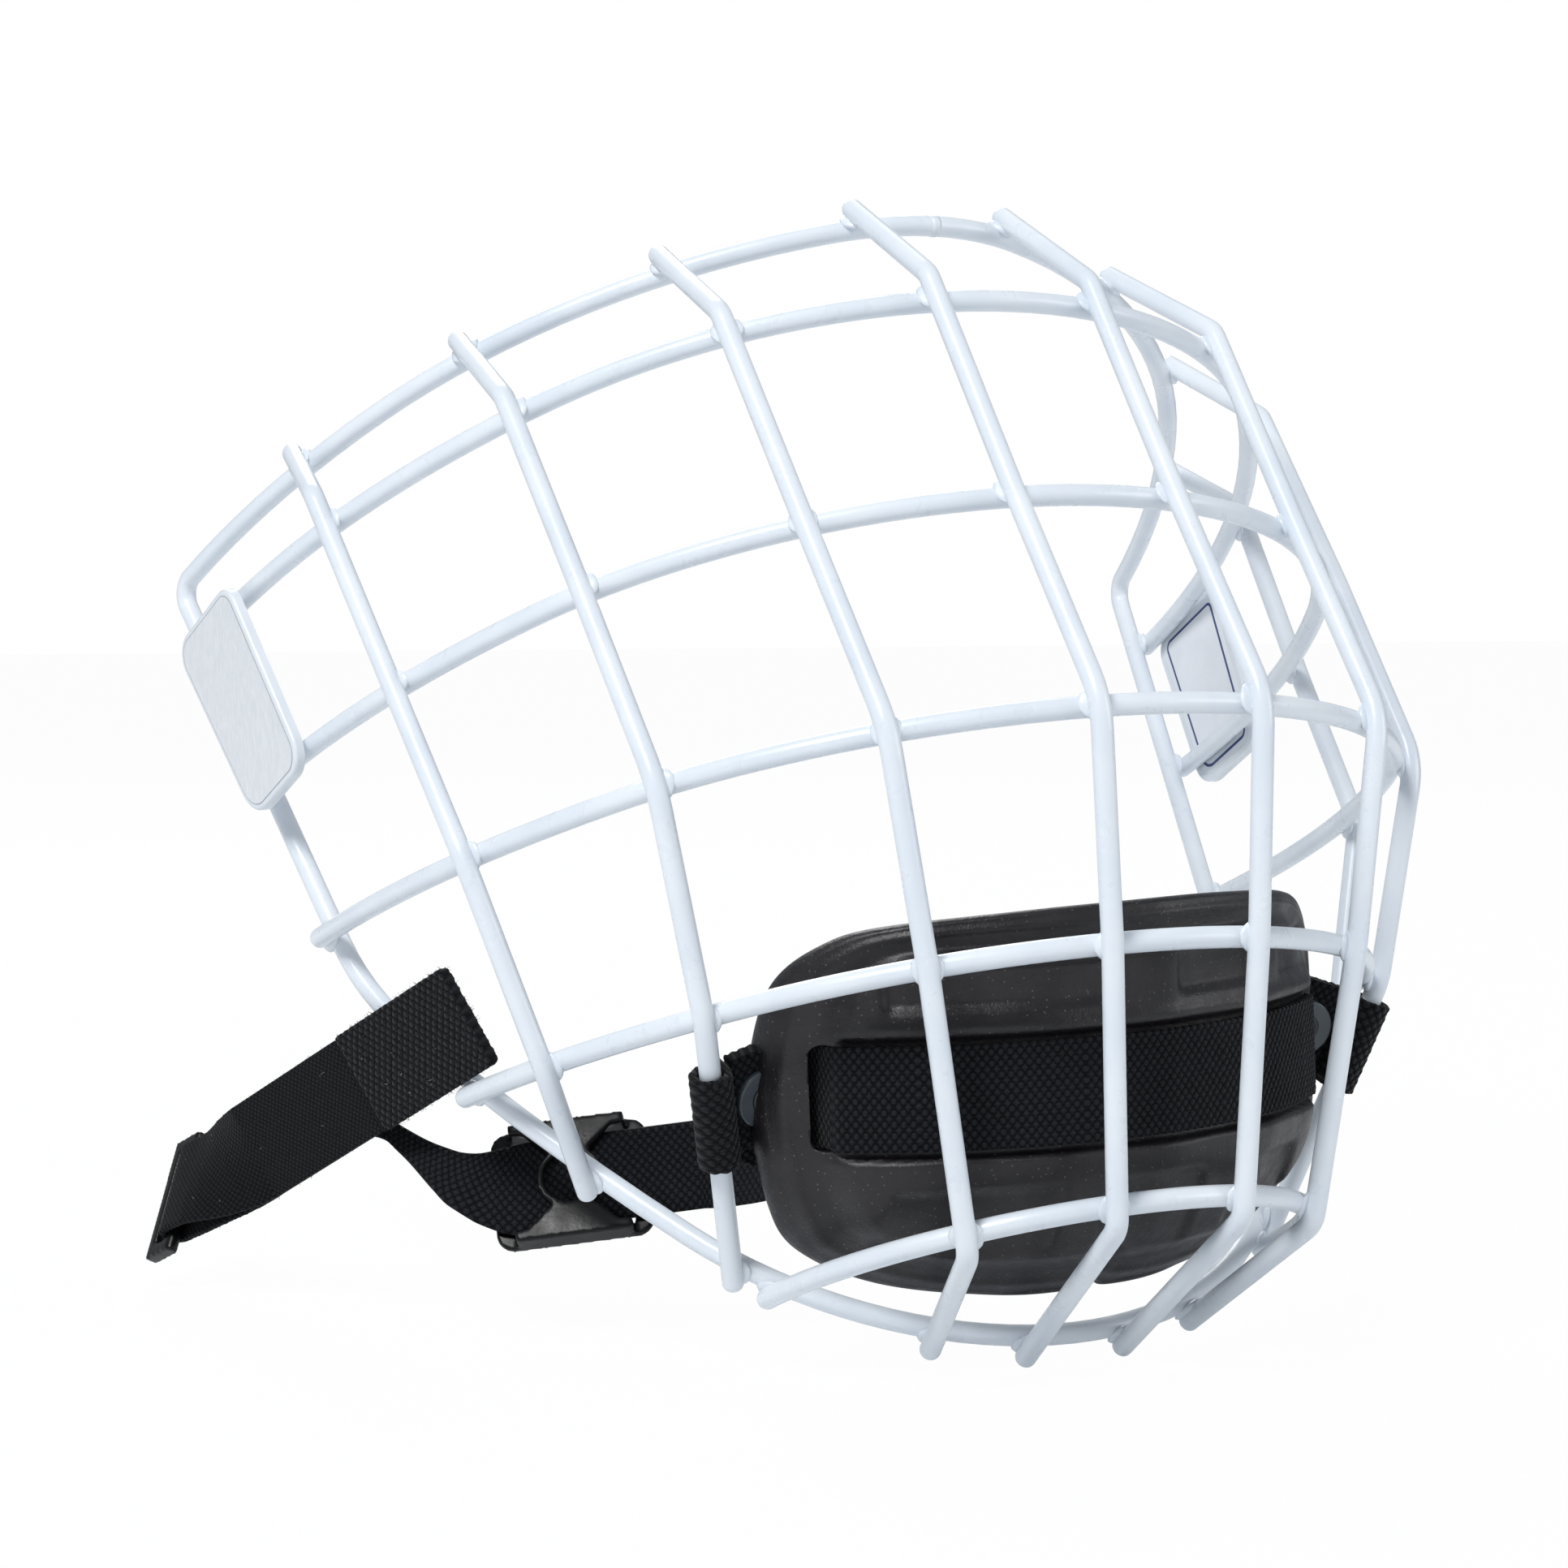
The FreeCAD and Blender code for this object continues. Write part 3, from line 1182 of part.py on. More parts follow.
def end_loop():
    """Plastic frame with a slot: its round bar lies in the band's fold."""
    placement = Placement(RING_BASE, Rotation(RING_ALONG, RING_UP, Vector(0, 0, 0), "XYZ"))
    body = new_body("end_loop", placement)
    reach = size("band_width") / 2 + size("ring_end_play")
    end = size("ring_end")
    bar = size("ring_bar_radius")
    far = size("ring_far")
    far_half = size("ring_far_half")
    outline = sketch_on(body, "XY_Plane", "end_loop_outline")
    outer = [Vector(-bar, -reach - end, 0), Vector(far + 2 * far_half, -reach - end, 0),
             Vector(far + 2 * far_half, reach + end, 0), Vector(-bar, reach + end, 0)]
    inner = [Vector(bar, -reach, 0), Vector(far, -reach, 0), Vector(far, reach, 0),
             Vector(bar, reach, 0)]
    for points in (outer, inner):
        for first, last in zip(points, points[1:] + points[:1]):
            outline.addGeometry(Part.LineSegment(first, last))
    pad = body.newObject("PartDesign::Pad", "end_loop_frame")
    pad.Profile = outline
    pad.Midplane = True
    bind(pad, "Length", "2 * Sizes.ring_bar_radius")
    doc.recompute()
    longs = [f"Edge{k}" for k, edge in enumerate(pad.Shape.Edges, start=1)
             if abs(edge.tangentAt(edge.FirstParameter).y) > 0.99
             and edge.CenterOfMass.x < bar + 0.01]
    soft = body.newObject("PartDesign::Fillet", "end_loop_bar_round")
    soft.Base = (pad, longs)
    soft.Radius = bar * 0.98


end_loop()

# ---------------------------------------------------------------- checks and export

doc.recompute()
for thing in doc.Objects:
    assert "Invalid" not in thing.State and "Error" not in thing.State, thing.Name
os.makedirs("parts", exist_ok=True)
for part in parts:
    assert not part.Shape.isNull() and part.Shape.isValid(), part.Label
    assert len(part.Shape.Solids) == 1, part.Label
    part.Shape.exportStep(f"parts/{part.Label}.step")
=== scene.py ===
"""Looks of the wire face cage: coated wires with their welds, plates, cup, webbing and plastic."""

import math
import random

import bmesh
import bpy
import numpy as np
from mathutils import Matrix, Vector, noise
from mathutils.bvhtree import BVHTree


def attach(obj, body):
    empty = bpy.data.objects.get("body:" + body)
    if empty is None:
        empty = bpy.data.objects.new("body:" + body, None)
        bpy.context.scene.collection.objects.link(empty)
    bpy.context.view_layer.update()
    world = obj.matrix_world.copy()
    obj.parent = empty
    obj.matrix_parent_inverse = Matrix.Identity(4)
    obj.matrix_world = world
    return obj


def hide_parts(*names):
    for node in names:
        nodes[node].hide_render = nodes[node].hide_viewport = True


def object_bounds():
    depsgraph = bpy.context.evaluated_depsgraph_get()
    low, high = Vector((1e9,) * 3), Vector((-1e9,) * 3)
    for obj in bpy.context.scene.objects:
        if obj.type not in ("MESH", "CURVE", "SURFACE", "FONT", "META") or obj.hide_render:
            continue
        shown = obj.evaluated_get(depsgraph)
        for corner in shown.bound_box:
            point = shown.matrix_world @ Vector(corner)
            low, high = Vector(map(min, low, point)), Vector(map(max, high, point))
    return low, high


MM = 0.001
MICRON = 0.000001
SAME_PLACE = 1e-7  # metres
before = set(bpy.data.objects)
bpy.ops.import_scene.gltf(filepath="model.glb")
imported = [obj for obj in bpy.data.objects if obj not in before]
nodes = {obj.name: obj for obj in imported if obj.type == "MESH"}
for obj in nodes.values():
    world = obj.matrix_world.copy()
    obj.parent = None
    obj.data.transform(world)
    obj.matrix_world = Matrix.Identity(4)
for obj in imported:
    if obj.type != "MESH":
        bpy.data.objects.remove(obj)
cad_low, cad_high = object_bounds()
random.seed(11)
scene = bpy.context.scene

# ---------------------------------------------------------------- camera
CAMERA_AT = Vector((-0.3120, -0.5334, -0.0596))
CAMERA_TOWARD = Vector((0.468, 0.882, -0.0517))
camera = bpy.data.objects.new("camera", bpy.data.cameras.new("camera"))
scene.collection.objects.link(camera)
scene.camera = camera
camera.location = CAMERA_AT
camera.rotation_mode = "QUATERNION"
camera.rotation_quaternion = CAMERA_TOWARD.to_track_quat("-Z", "Y")
camera.data.sensor_width = 36.0
camera.data.lens = 84.97
camera.data.shift_x = 0.0038
camera.data.shift_y = -0.0039
camera.data.clip_start = 0.02
camera.data.clip_end = 50.0

scene.view_settings.view_transform = "Standard"

# ---------------------------------------------------------------- materials
# Sockets of a Mix node that blends colours.
MIX_SHARE = 0
MIX_FIRST = 6
MIX_SECOND = 7
MIX_RESULT = 2


def new_material(name):
    """An empty node material with its shader and output."""
    material = bpy.data.materials.new(name)
    material.use_nodes = True
    tree = material.node_tree
    tree.nodes.clear()
    output = tree.nodes.new("ShaderNodeOutputMaterial")
    shader = tree.nodes.new("ShaderNodeBsdfPrincipled")
    tree.links.new(shader.outputs["BSDF"], output.inputs["Surface"])
    return material, tree, shader


def place(tree):
    """Places in the piece's own space, which every material is laid out in."""
    return tree.nodes.new("ShaderNodeTexCoord").outputs["Object"]


def grain(tree, vector, scale, detail=3.0, rough=0.55):
    """Noise at a given number of waves per metre."""
    node = tree.nodes.new("ShaderNodeTexNoise")
    node.inputs["Scale"].default_value = scale
    node.inputs["Detail"].default_value = detail
    node.inputs["Roughness"].default_value = rough
    tree.links.new(vector, node.inputs["Vector"])
    return node.outputs["Fac"]


def ramp(tree, value, low, high, start=0.3, end=0.7):
    """Two colours, or two grey levels, blended over part of a value's range."""
    node = tree.nodes.new("ShaderNodeValToRGB")
    for element, colour, spot in zip(node.color_ramp.elements, (low, high), (start, end)):
        element.color = (*colour, 1.0) if hasattr(colour, "__len__") else (colour, colour, colour, 1.0)
        element.position = spot
    tree.links.new(value, node.inputs["Fac"])
    return node.outputs["Color"]


def bump(tree, shader, height, distance, strength=1.0, before=None):
    """Relief from a height, laid over an earlier one where there is one."""
    node = tree.nodes.new("ShaderNodeBump")
    node.inputs["Distance"].default_value = distance
    node.inputs["Strength"].default_value = strength
    tree.links.new(height, node.inputs["Height"])
    if before is not None:
        tree.links.new(before, node.inputs["Normal"])
    tree.links.new(node.outputs["Normal"], shader.inputs["Normal"])
    return node.outputs["Normal"]


def powder_coat(name, colour, shade, gloss):
    """Sprayed and baked coating: soft gloss, faint orange peel, thin cloudy shade."""
    material, tree, shader = new_material(name)
    at = place(tree)
    cloud = grain(tree, at, 55.0)
    wear = grain(tree, at, 240.0)
    peel = grain(tree, at, 420.0, detail=2.0)
    powder = grain(tree, at, 1500.0, detail=1.0)
    tree.links.new(ramp(tree, cloud, shade, colour, start=0.32, end=0.62), shader.inputs["Base Color"])
    tree.links.new(ramp(tree, wear, gloss - 0.05, gloss + 0.07), shader.inputs["Roughness"])
    peeled = bump(tree, shader, peel, 30 * MICRON, strength=0.2)
    bump(tree, shader, powder, 10 * MICRON, strength=0.08, before=peeled)
    shader.inputs["Coat Weight"].default_value = 0.25
    shader.inputs["Coat Roughness"].default_value = 0.18
    shader.inputs["IOR"].default_value = 1.5
    return material


CLOTH_ROUGHNESS = 0.8


def specked(tree, at, colour, speck):
    """A colour with pale dots scattered over it."""
    dots = tree.nodes.new("ShaderNodeTexVoronoi")
    dots.inputs["Scale"].default_value = 950.0
    tree.links.new(at, dots.inputs["Vector"])
    spots = ramp(tree, dots.outputs["Distance"], 1.0, 0.0, start=0.08, end=0.16)
    mix = tree.nodes.new("ShaderNodeMix")
    mix.data_type = "RGBA"
    mix.inputs[MIX_SECOND].default_value = (*speck, 1.0)
    tree.links.new(spots, mix.inputs[MIX_SHARE])
    tree.links.new(colour, mix.inputs[MIX_FIRST])
    return mix.outputs[MIX_RESULT]


def moulded(name, low, high, rough, waves, depth, speck=None, shine=0.5):
    """Moulded plastic or foam with a grained skin: waves of grain per metre, and their depth."""
    material, tree, shader = new_material(name)
    at = place(tree)
    colour = ramp(tree, grain(tree, at, 90.0), low, high)
    if speck is not None:
        colour = specked(tree, at, colour, speck)
    wear = grain(tree, at, 300.0)
    coarse = grain(tree, at, waves * 0.3)
    fine = grain(tree, at, waves, detail=4.0)
    tree.links.new(colour, shader.inputs["Base Color"])
    tree.links.new(ramp(tree, wear, rough - 0.07, rough + 0.08), shader.inputs["Roughness"])
    shader.inputs["Specular IOR Level"].default_value = shine
    grained = bump(tree, shader, coarse, depth * 2.0, strength=0.4)
    bump(tree, shader, fine, depth, strength=0.8, before=grained)
    return material


def woven(name, low, high, pitch, depth, sheen):
    """Cloth whose threads follow the strap: the weave map is in millimetres along and across. Its colour is
    darkened in the gaps between the threads as painted shade.
    """
    material, tree, shader = new_material(name)
    at = place(tree)
    weave = tree.nodes.new("ShaderNodeUVMap")
    weave.uv_map = "weave"
    split = tree.nodes.new("ShaderNodeSeparateXYZ")
    tree.links.new(weave.outputs["UV"], split.inputs["Vector"])

    def calculate(operation, *values):
        """Result of a math node on sockets or plain numbers."""
        node = tree.nodes.new("ShaderNodeMath")
        node.operation = operation
        for value, socket in zip(values, node.inputs):
            if hasattr(value, "is_output"):
                tree.links.new(value, socket)
            else:
                socket.default_value = value
        return node.outputs[0]

    slack = calculate("MULTIPLY", grain(tree, at, 330.0, detail=2.0), 0.5)
    warp, weft = (calculate("MULTIPLY_ADD", split.outputs[axis], math.pi / step, slack)
                  for axis, step in zip("XY", pitch))
    sines = [calculate("SINE", calculate(way, warp, weft)) for way in ("ADD", "SUBTRACT")]
    cell = calculate("ABSOLUTE", calculate("MULTIPLY", *sines))
    plies_per_thread = 6.0
    ply = calculate("SINE", calculate("MULTIPLY", split.outputs["Y"], math.pi * plies_per_thread / pitch[1]))
    thread = calculate("MULTIPLY_ADD", ply, 0.12, cell)
    # Tone for the base colour: thread height, so the gaps between threads get painted shade and the thread
    # tops the cloth's own colour, plus random wear tone from the noise.
    worn_and_gap_shade = calculate("MULTIPLY_ADD", grain(tree, at, 420.0, detail=5.0, rough=0.7), 0.5, thread)
    fuzz = grain(tree, at, 5200.0, detail=2.0, rough=0.7)
    tree.links.new(ramp(tree, worn_and_gap_shade, low, high, start=0.25, end=1.1), shader.inputs["Base Color"])
    gloss = ramp(tree, cell, CLOTH_ROUGHNESS + 0.12, CLOTH_ROUGHNESS - 0.05)
    tree.links.new(gloss, shader.inputs["Roughness"])
    fibred = bump(tree, shader, fuzz, 50 * MICRON, strength=0.5)
    bump(tree, shader, thread, depth, strength=0.9, before=fibred)
    shader.inputs["Sheen Weight"].default_value = sheen
    shader.inputs["Sheen Roughness"].default_value = 0.45
    shader.inputs["Specular IOR Level"].default_value = 0.16
    return material


WIRE = powder_coat("white_wire_coat", (0.79, 0.84, 0.895), (0.71, 0.775, 0.85), 0.30)
PLATE = powder_coat("plate_coat", (0.76, 0.80, 0.85), (0.70, 0.75, 0.81), 0.36)
FOAM = moulded("charcoal_foam_skin", (0.0050, 0.0042, 0.0056), (0.0125, 0.0105, 0.0135), 0.40,
               waves=2600.0, depth=100 * MICRON, speck=(0.09, 0.08, 0.08))
PLASTIC = moulded("black_plastic_skin", (0.0018, 0.0016, 0.0020), (0.0034, 0.0030, 0.0036), 0.34,
                  waves=1500.0, depth=30 * MICRON, shine=0.28)
SNAP = moulded("snap_plastic_skin", (0.050, 0.064, 0.076), (0.066, 0.082, 0.096), 0.30,
               waves=1200.0, depth=20 * MICRON)
SNAP_DARK = moulded("snap_centre_skin", (0.012, 0.014, 0.017), (0.020, 0.023, 0.027), 0.34,
                    waves=1200.0, depth=20 * MICRON)
LINT = moulded("lint", (0.30, 0.31, 0.33), (0.50, 0.51, 0.53), 0.9, waves=1500.0, depth=20 * MICRON)
FIBRE = moulded("black_fibre", (0.006, 0.007, 0.009), (0.022, 0.024, 0.030), 0.7,
                waves=1500.0, depth=10 * MICRON)
# Distance between threads along and across each cloth, in millimetres.
WEBBING_PITCH = (1.45, 1.75)
ELASTIC_PITCH = (1.1, 1.1)
PILE_PITCH = (1.6, 1.9)
# In each cloth the first colour is painted shade for the gaps between threads, and the second is the colour
# of the thread tops.
WEBBING = woven("black_webbing_weave", (0.0008, 0.0009, 0.0013), (0.0120, 0.0132, 0.0175), WEBBING_PITCH,
                depth=200 * MICRON, sheen=0.05)
ELASTIC = woven("elastic_knit", (0.0010, 0.0011, 0.0015), (0.0085, 0.0095, 0.0125), ELASTIC_PITCH,
                depth=140 * MICRON, sheen=0.04)
PILE = woven("hook_pile", (0.0008, 0.0009, 0.0013), (0.0100, 0.0112, 0.0150), PILE_PITCH,
             depth=250 * MICRON, sheen=0.10)


def brushed(name):
    """Silver film brushed along the plate."""
    material, tree, shader = new_material(name)
    at = place(tree)
    stretch = tree.nodes.new("ShaderNodeMapping")
    stretch.inputs["Scale"].default_value = (1.0, 12.0, 2.0)
    tree.links.new(at, stretch.inputs["Vector"])
    lines = grain(tree, stretch.outputs["Vector"], 190.0, detail=4.0, rough=0.7)
    tree.links.new(ramp(tree, lines, (0.70, 0.73, 0.77), (0.84, 0.865, 0.90)), shader.inputs["Base Color"])
    tree.links.new(ramp(tree, lines, 0.36, 0.52), shader.inputs["Roughness"])
    bump(tree, shader, lines, 20 * MICRON, strength=0.5)
    shader.inputs["Metallic"].default_value = 0.15
    return material


def film(name, colour, shade):
    """Plain plastic film, a little cloudy and finely grained."""
    material, tree, shader = new_material(name)
    at = place(tree)
    tree.links.new(ramp(tree, grain(tree, at, 130.0), shade, colour), shader.inputs["Base Color"])
    tree.links.new(ramp(tree, grain(tree, at, 500.0), 0.30, 0.42), shader.inputs["Roughness"])
    bump(tree, shader, grain(tree, at, 1800.0), 20 * MICRON, strength=0.4)
    return material


SILVER = brushed("brushed_film")
PAPER = film("white_film", (0.82, 0.85, 0.89), (0.76, 0.79, 0.84))
BLUE = film("blue_film", (0.045, 0.075, 0.22), (0.035, 0.06, 0.18))
GREY = film("grey_film", (0.36, 0.38, 0.41), (0.30, 0.32, 0.35))

# ---------------------------------------------------------------- studio
FLOOR_HALF_SIDE = 6.0
FLOOR_GAP = 0.5 * MM
FLOOR_GLOW = 0.97  # share of the white behind that the camera sees in the floor
WHITE = (1.0, 1.0, 1.0, 1.0)
LIT_PLACE = (0.0, 0.0, -0.09)  # the middle of the cage, which every light faces


def mesh_of(bm, name):
    """The mesh that has been built up, which frees the builder's memory."""
    mesh = bpy.data.meshes.new(name)
    bm.to_mesh(mesh)
    bm.free()
    return mesh


def add_floor():
    """Pale floor under the mask, lit to the brightness of the studio behind it."""
    bm = bmesh.new()
    bmesh.ops.create_grid(bm, x_segments=8, y_segments=8, size=FLOOR_HALF_SIDE)
    mesh = mesh_of(bm, "floor")
    floor = bpy.data.objects.new("floor", mesh)
    scene.collection.objects.link(floor)
    floor.location.z = cad_low.z - FLOOR_GAP
    material = bpy.data.materials.new("pale_floor")
    material.use_nodes = True
    tree = material.node_tree
    tree.nodes.clear()
    output = tree.nodes.new("ShaderNodeOutputMaterial")
    paint = tree.nodes.new("ShaderNodeBsdfDiffuse")
    paint.inputs["Color"].default_value = (0.86, 0.87, 0.88, 1.0)
    light = tree.nodes.new("ShaderNodeEmission")
    light.inputs["Color"].default_value = WHITE
    rays = tree.nodes.new("ShaderNodeLightPath")
    share = tree.nodes.new("ShaderNodeMath")
    share.operation = "MULTIPLY"
    share.inputs[1].default_value = FLOOR_GLOW
    mix = tree.nodes.new("ShaderNodeMixShader")
    tree.links.new(rays.outputs["Is Camera Ray"], share.inputs[0])
    tree.links.new(share.outputs[0], mix.inputs[0])
    tree.links.new(paint.outputs[0], mix.inputs[1])
    tree.links.new(light.outputs[0], mix.inputs[2])
    tree.links.new(mix.outputs[0], output.inputs["Surface"])
    mesh.materials.append(material)


def add_world():
    """White studio: full white to the camera, softer as light."""
    world = bpy.data.worlds.new("studio")
    scene.world = world
    world.use_nodes = True
    tree = world.node_tree
    tree.nodes.clear()
    output = tree.nodes.new("ShaderNodeOutputWorld")
    rays = tree.nodes.new("ShaderNodeLightPath")
    seen = tree.nodes.new("ShaderNodeBackground")
    seen.inputs["Color"].default_value = WHITE
    lit = tree.nodes.new("ShaderNodeBackground")
    lit.inputs["Color"].default_value = (0.90, 0.95, 1.0, 1.0)
    lit.inputs["Strength"].default_value = 0.34
    mix = tree.nodes.new("ShaderNodeMixShader")
    tree.links.new(rays.outputs["Is Camera Ray"], mix.inputs[0])
    tree.links.new(lit.outputs[0], mix.inputs[1])
    tree.links.new(seen.outputs[0], mix.inputs[2])
    tree.links.new(mix.outputs[0], output.inputs["Surface"])


def add_light(name, at, size, power):
    """Soft round lamp that faces the cage and that the camera doesn't see."""
    light = bpy.data.lights.new(name, "AREA")
    light.shape = "DISK"
    light.size = size
    light.energy = power
    lamp = bpy.data.objects.new(name, light)
    scene.collection.objects.link(lamp)
    lamp.location = at
    lamp.rotation_mode = "QUATERNION"
    lamp.rotation_quaternion = (Vector(LIT_PLACE) - Vector(at)).to_track_quat("-Z", "Y")
    lamp.visible_camera = False


add_floor()
add_world()
add_light("key", (-1.00, -0.60, 1.15), size=0.55, power=20.0)
add_light("fill", (1.15, -1.00, 0.35), size=0.8, power=5.0)
add_light("rim_light", (0.35, 1.20, 0.90), size=0.8, power=9.0)

# ---------------------------------------------------------------- helpers for pieces


def add_piece(name, mesh, material, body):
    """A visible piece that rides on a body and takes the given finish where its mesh has none yet."""
    piece = bpy.data.objects.new(name, mesh)
    scene.collection.objects.link(piece)
    if not mesh.materials:
        mesh.materials.append(material)
    mesh.shade_smooth()
    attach(piece, body)
    return piece


def join_rings(bm, rings):
    """Faces between each closed ring of corners and the next."""
    for low, high in zip(rings, rings[1:]):
        for k in range(len(low)):
            after = (k + 1) % len(low)
            bm.faces.new((low[k], low[after], high[after], high[k]))


def tube(bm, rings):
    """Rings joined into one solid skin, closed at both ends."""
    join_rings(bm, rings)
    bm.faces.new(rings[0][::-1])
    bm.faces.new(rings[-1])


def remeshed(node, voxel, rounds):
    """A CAD solid's surface as an even mesh, with its edges softened in so many rounds."""
    source = nodes[node].data.copy()
    bm = bmesh.new()
    bm.from_mesh(source)
    bmesh.ops.remove_doubles(bm, verts=bm.verts, dist=SAME_PLACE)
    bm.to_mesh(source)
    bm.free()
    holder = bpy.data.objects.new(node + "_source", source)
    scene.collection.objects.link(holder)
    remesh = holder.modifiers.new("even", "REMESH")
    remesh.mode = "VOXEL"
    remesh.voxel_size = voxel
    soften = holder.modifiers.new("soften", "SMOOTH")
    soften.factor = 0.5
    soften.iterations = rounds
    ready = holder.evaluated_get(bpy.context.evaluated_depsgraph_get())
    mesh = bpy.data.meshes.new_from_object(ready)
    mesh.materials.clear()
    bpy.data.objects.remove(holder)
    bpy.data.meshes.remove(source)
    return mesh


def corners_of(mesh):
    """Places and normals of a mesh's corners, one row for each."""
    co = np.empty(len(mesh.vertices) * 3)
    mesh.vertices.foreach_get("co", co)
    normal = np.empty(len(mesh.vertices) * 3)
    mesh.vertex_normals.foreach_get("vector", normal)
    return co.reshape(-1, 3), normal.reshape(-1, 3)


def move_corners(mesh, places):
    """Put a mesh's corners at new places."""
    mesh.vertices.foreach_set("co", places.ravel())
    mesh.update()


def unrolled(places, path):
    """How far along and across a strap each place lies, in millimetres.

    The path is a list of points and the strap's across direction at each. Its first and last runs
    go on past their ends.
    """
    best = np.full(len(places), np.inf)
    along = np.zeros(len(places))
    across = np.zeros(len(places))
    start = 0.0
    last = len(path) - 2
    for k, ((a, up_a), (b, up_b)) in enumerate(zip(path, path[1:])):
        a, b, up_a, up_b = (np.array(v, dtype=float) for v in (a, b, up_a, up_b))
        run = np.linalg.norm(b - a)
        share = (places - a) @ (b - a) / run ** 2
        share = np.clip(share, -np.inf if k == 0 else 0.0, np.inf if k == last else 1.0)
        foot = a + share[:, None] * (b - a)
        gap = ((places - foot) ** 2).sum(axis=1)
        up = up_a + np.clip(share, 0.0, 1.0)[:, None] * (up_b - up_a)
        heading = (b - a) / run
        up = up - (up @ heading)[:, None] * heading
        up /= np.linalg.norm(up, axis=1)[:, None]
        near = gap < best
        best[near] = gap[near]
        along[near] = (start + share * run)[near]
        across[near] = ((places - foot) * up).sum(axis=1)[near]
        start += run
    return along, across


def lay_weave_map(mesh, along, across):
    """Give each corner its place along and across the strap, which the woven materials read."""
    layer = mesh.uv_layers.new(name="weave")
    index = np.empty(len(mesh.loops), dtype=np.int64)
    mesh.loops.foreach_get("vertex_index", index)
    layer.data.foreach_set("uv", np.column_stack((along[index], across[index])).ravel())


CLOTH_VOXEL = 0.00032  # metres
THREAD_MEAN = 0.55  # mean height of a thread's hump, so that the cloth keeps its thickness
FUZZ_WAVES = 1900.0  # per metre


def threads(along, across, pitch, relief):
    """Height of the woven threads at each place on a strap, in millimetres."""
    warp, weft = np.pi * along / pitch[0], np.pi * across / pitch[1]
    cell = np.abs(np.sin(warp + weft) * np.sin(warp - weft))
    return relief * (np.sqrt(cell) - THREAD_MEAN)


def strap(node, path, body, material, pitch, relief, fuzz=0.0):
    """A strap with its threads raised out of its solid's surface, and fuzz where it is shaggy."""
    mesh = remeshed(node, CLOTH_VOXEL, rounds=2)
    places, normals = corners_of(mesh)
    along, across = unrolled(places / MM, path)
    rise = threads(along, across, pitch, relief)
    if fuzz:
        shaggy = np.array([noise.noise(Vector(p) * FUZZ_WAVES) for p in places])
        rise = rise + fuzz * shaggy
    move_corners(mesh, places + normals * rise[:, None] * MM)
    lay_weave_map(mesh, along, across)
    piece = add_piece(node + "_cloth", mesh, material, body)
    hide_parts(node)
    return piece


def lengths_along(places):
    """How far along a run of places each one lies."""
    steps = np.linalg.norm(np.diff(places, axis=0), axis=1)
    return np.concatenate(([0.0], np.cumsum(steps)))


def through(stations, spacing):
    """A smooth run of rows through uneven stations, and how far along each row lies."""
    table = np.array(stations, dtype=float)
    knots = lengths_along(table[:, :3])
    steps = np.diff(knots)[:, None]
    slopes = np.diff(table, axis=0) / steps
    tangents = np.vstack((slopes[:1], (steps[1:] * slopes[:-1] + steps[:-1] * slopes[1:])
                          / (steps[1:] + steps[:-1]), slopes[-1:]))
    along = np.linspace(0.0, knots[-1], int(knots[-1] / spacing))
    k = np.clip(np.searchsorted(knots, along, side="right") - 1, 0, len(steps) - 1)
    t = ((along - knots[k]) / steps[k, 0])[:, None]
    rows = ((1 + 2 * t) * (1 - t) ** 2 * table[k] + t * (1 - t) ** 2 * steps[k] * tangents[k]
            + t * t * (3 - 2 * t) * table[k + 1] + t * t * (t - 1) * steps[k] * tangents[k + 1])
    return rows, along


def drawn_strap(node, stations, body, material, pitch, relief):
    """A strap drawn along its stations: centre, across direction and width of each."""
    thickness, full_width, row_spacing = 1.3, 16.0, 0.33
    count = 46  # corners across each face
    rows, along = through(stations, row_spacing)
    ahead = np.gradient(rows[:, :3], axis=0)
    ahead /= np.linalg.norm(ahead, axis=1)[:, None]
    up = rows[:, 3:6] - (rows[:, 3:6] * ahead).sum(axis=1)[:, None] * ahead
    up /= np.linalg.norm(up, axis=1)[:, None]
    out = np.cross(ahead, up)
    share = np.concatenate((np.linspace(-1.0, 1.0, count), np.linspace(1.0, -1.0, count)[1:-1]))
    face = np.where(np.arange(len(share)) < count, 1.0, -1.0)
    half = 0.5 * thickness * (1.0 - np.abs(share) ** 8) ** 0.5  # falls to nothing at the selvedges
    across = 0.5 * rows[:, 6:7] * share
    flat = np.repeat(along[:, None], len(share), axis=1)
    rise = half + threads(flat, 0.5 * full_width * share, pitch, relief) * (half > 0.0)
    places = (rows[:, None, :3] + across[:, :, None] * up[:, None, :]
              + (face * rise)[:, :, None] * out[:, None, :]) * MM
    wide = len(share)
    first = np.arange(len(rows) - 1)[:, None] * wide
    here, after = np.arange(wide), (np.arange(wide) + 1) % wide
    quads = np.stack((first + here, first + after, first + wide + after, first + wide + here), axis=-1)
    ends = [list(range(wide))[::-1], list(range((len(rows) - 1) * wide, len(rows) * wide))]
    mesh = bpy.data.meshes.new(node + "_cloth")
    mesh.from_pydata(places.reshape(-1, 3).tolist(), [], quads.reshape(-1, 4).tolist() + ends)
    lay_weave_map(mesh, flat.ravel(), across.ravel())
    bm = bmesh.new()
    bm.from_mesh(mesh)
    bmesh.ops.recalc_face_normals(bm, faces=bm.faces)
    bm.to_mesh(mesh)
    bm.free()
    piece = add_piece(node + "_cloth", mesh, material, body)
    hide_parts(node)
    return piece


